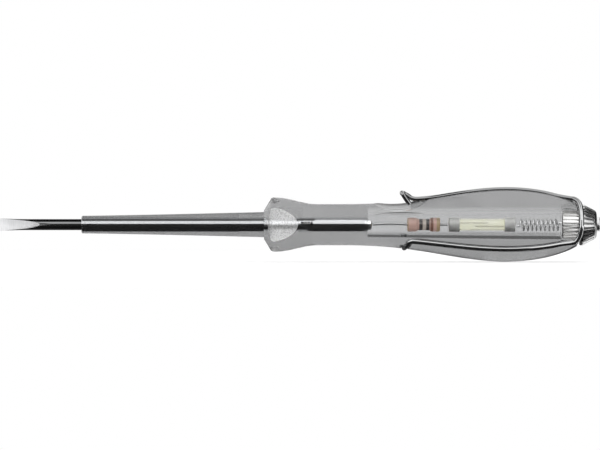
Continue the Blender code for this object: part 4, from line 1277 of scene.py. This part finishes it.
def floor_card(name, nearest, farthest, glow, seen_by, start, end):
    """Lays a card just over the floor, from a place nearer to us to one farther away."""
    place = ((start + end) / 2, (nearest + farthest) / 2, -FLOOR_DROP + CARD_LIFT)
    make_card(name, (end - start, farthest - nearest), place, (0, 0, 0), glow, seen_by)


# %% Hold the cards
FLOOR_CARD_START = 0.001
SLEEVE_TO, COLLAR_FROM, BUSH_FROM, CAP_FROM = 0.066, 0.07, 0.138, 0.147
arch_card("front_card", -2, 19, 0.04)
arch_card("top_card", 60, 100, end=SLEEVE_TO)
arch_card("rear_top_card", 100, 138, 0.0, GLOSSY, end=SLEEVE_TO)
arch_card("back_card", 138, 174, 0.25, GLOSSY, end=SLEEVE_TO)
arch_card("shine_card", 15, 68, 3.2, THROUGH, 0.3)
arch_card("shade_card", 68, 125, 0.3, THROUGH, 0.3, end=COLLAR_FROM)
arch_card("handle_shine_card", 68, 86, 3.2, THROUGH, 0.3, COLLAR_FROM)
floor_card("floor_front_card", -0.52, 0.0, 0.0, BOTH, FLOOR_CARD_START, BUSH_FROM)
floor_card("floor_cap_card", -0.52, 0.0, 0.0, GLOSSY, BUSH_FROM, 0.175)
floor_card("floor_bush_card", -0.52, 0.0, 2.2, THROUGH, BUSH_FROM, 0.15)
floor_card("floor_rear_card", 0.0, 0.5, 0.05, GLOSSY, 0.06, CAP_FROM)
floor_card("floor_sleeve_card", 0.0, 0.5, 0.05, BOTH, FLOOR_CARD_START, 0.06)
floor_card("under_sleeve_card", 0.0, 0.014, 0.0, THROUGH, 0.015, SLEEVE_TO)
floor_card("under_handle_card", 0.0, 0.012, 0.0, THROUGH, 0.076, 0.092)
floor_card("under_chamber_card", 0.0, 0.014, 0.3, THROUGH, 0.092, 0.141)
make_card("side_card", (0.24, 0.34), (0.24, 0.12, 0.06), (0, math.pi / 2, 0), 0.0, GLOSSY)
print("cards and floor are up")

# %% Lamps
for name, place, size, power in (("key_lamp", (CENTRE, -0.5, 0.45), (0.9, 0.25), 2.8),
                                 ("rim_lamp", (CENTRE, 0.6, 0.4), (0.7, 0.2), 1.2)):
    deselect()
    bpy.ops.object.light_add(type="AREA", location=place)
    lamp = bpy.context.object
    lamp.name = name
    lamp.data.shape = "RECTANGLE"
    lamp.data.size, lamp.data.size_y = size
    lamp.data.energy = power
    lamp.visible_transmission = False
    lamp.visible_glossy = False
    aim = Vector((CENTRE, 0, 0)) - Vector(place)
    lamp.rotation_euler = aim.to_track_quat("-Z", "Y").to_euler()
deselect()
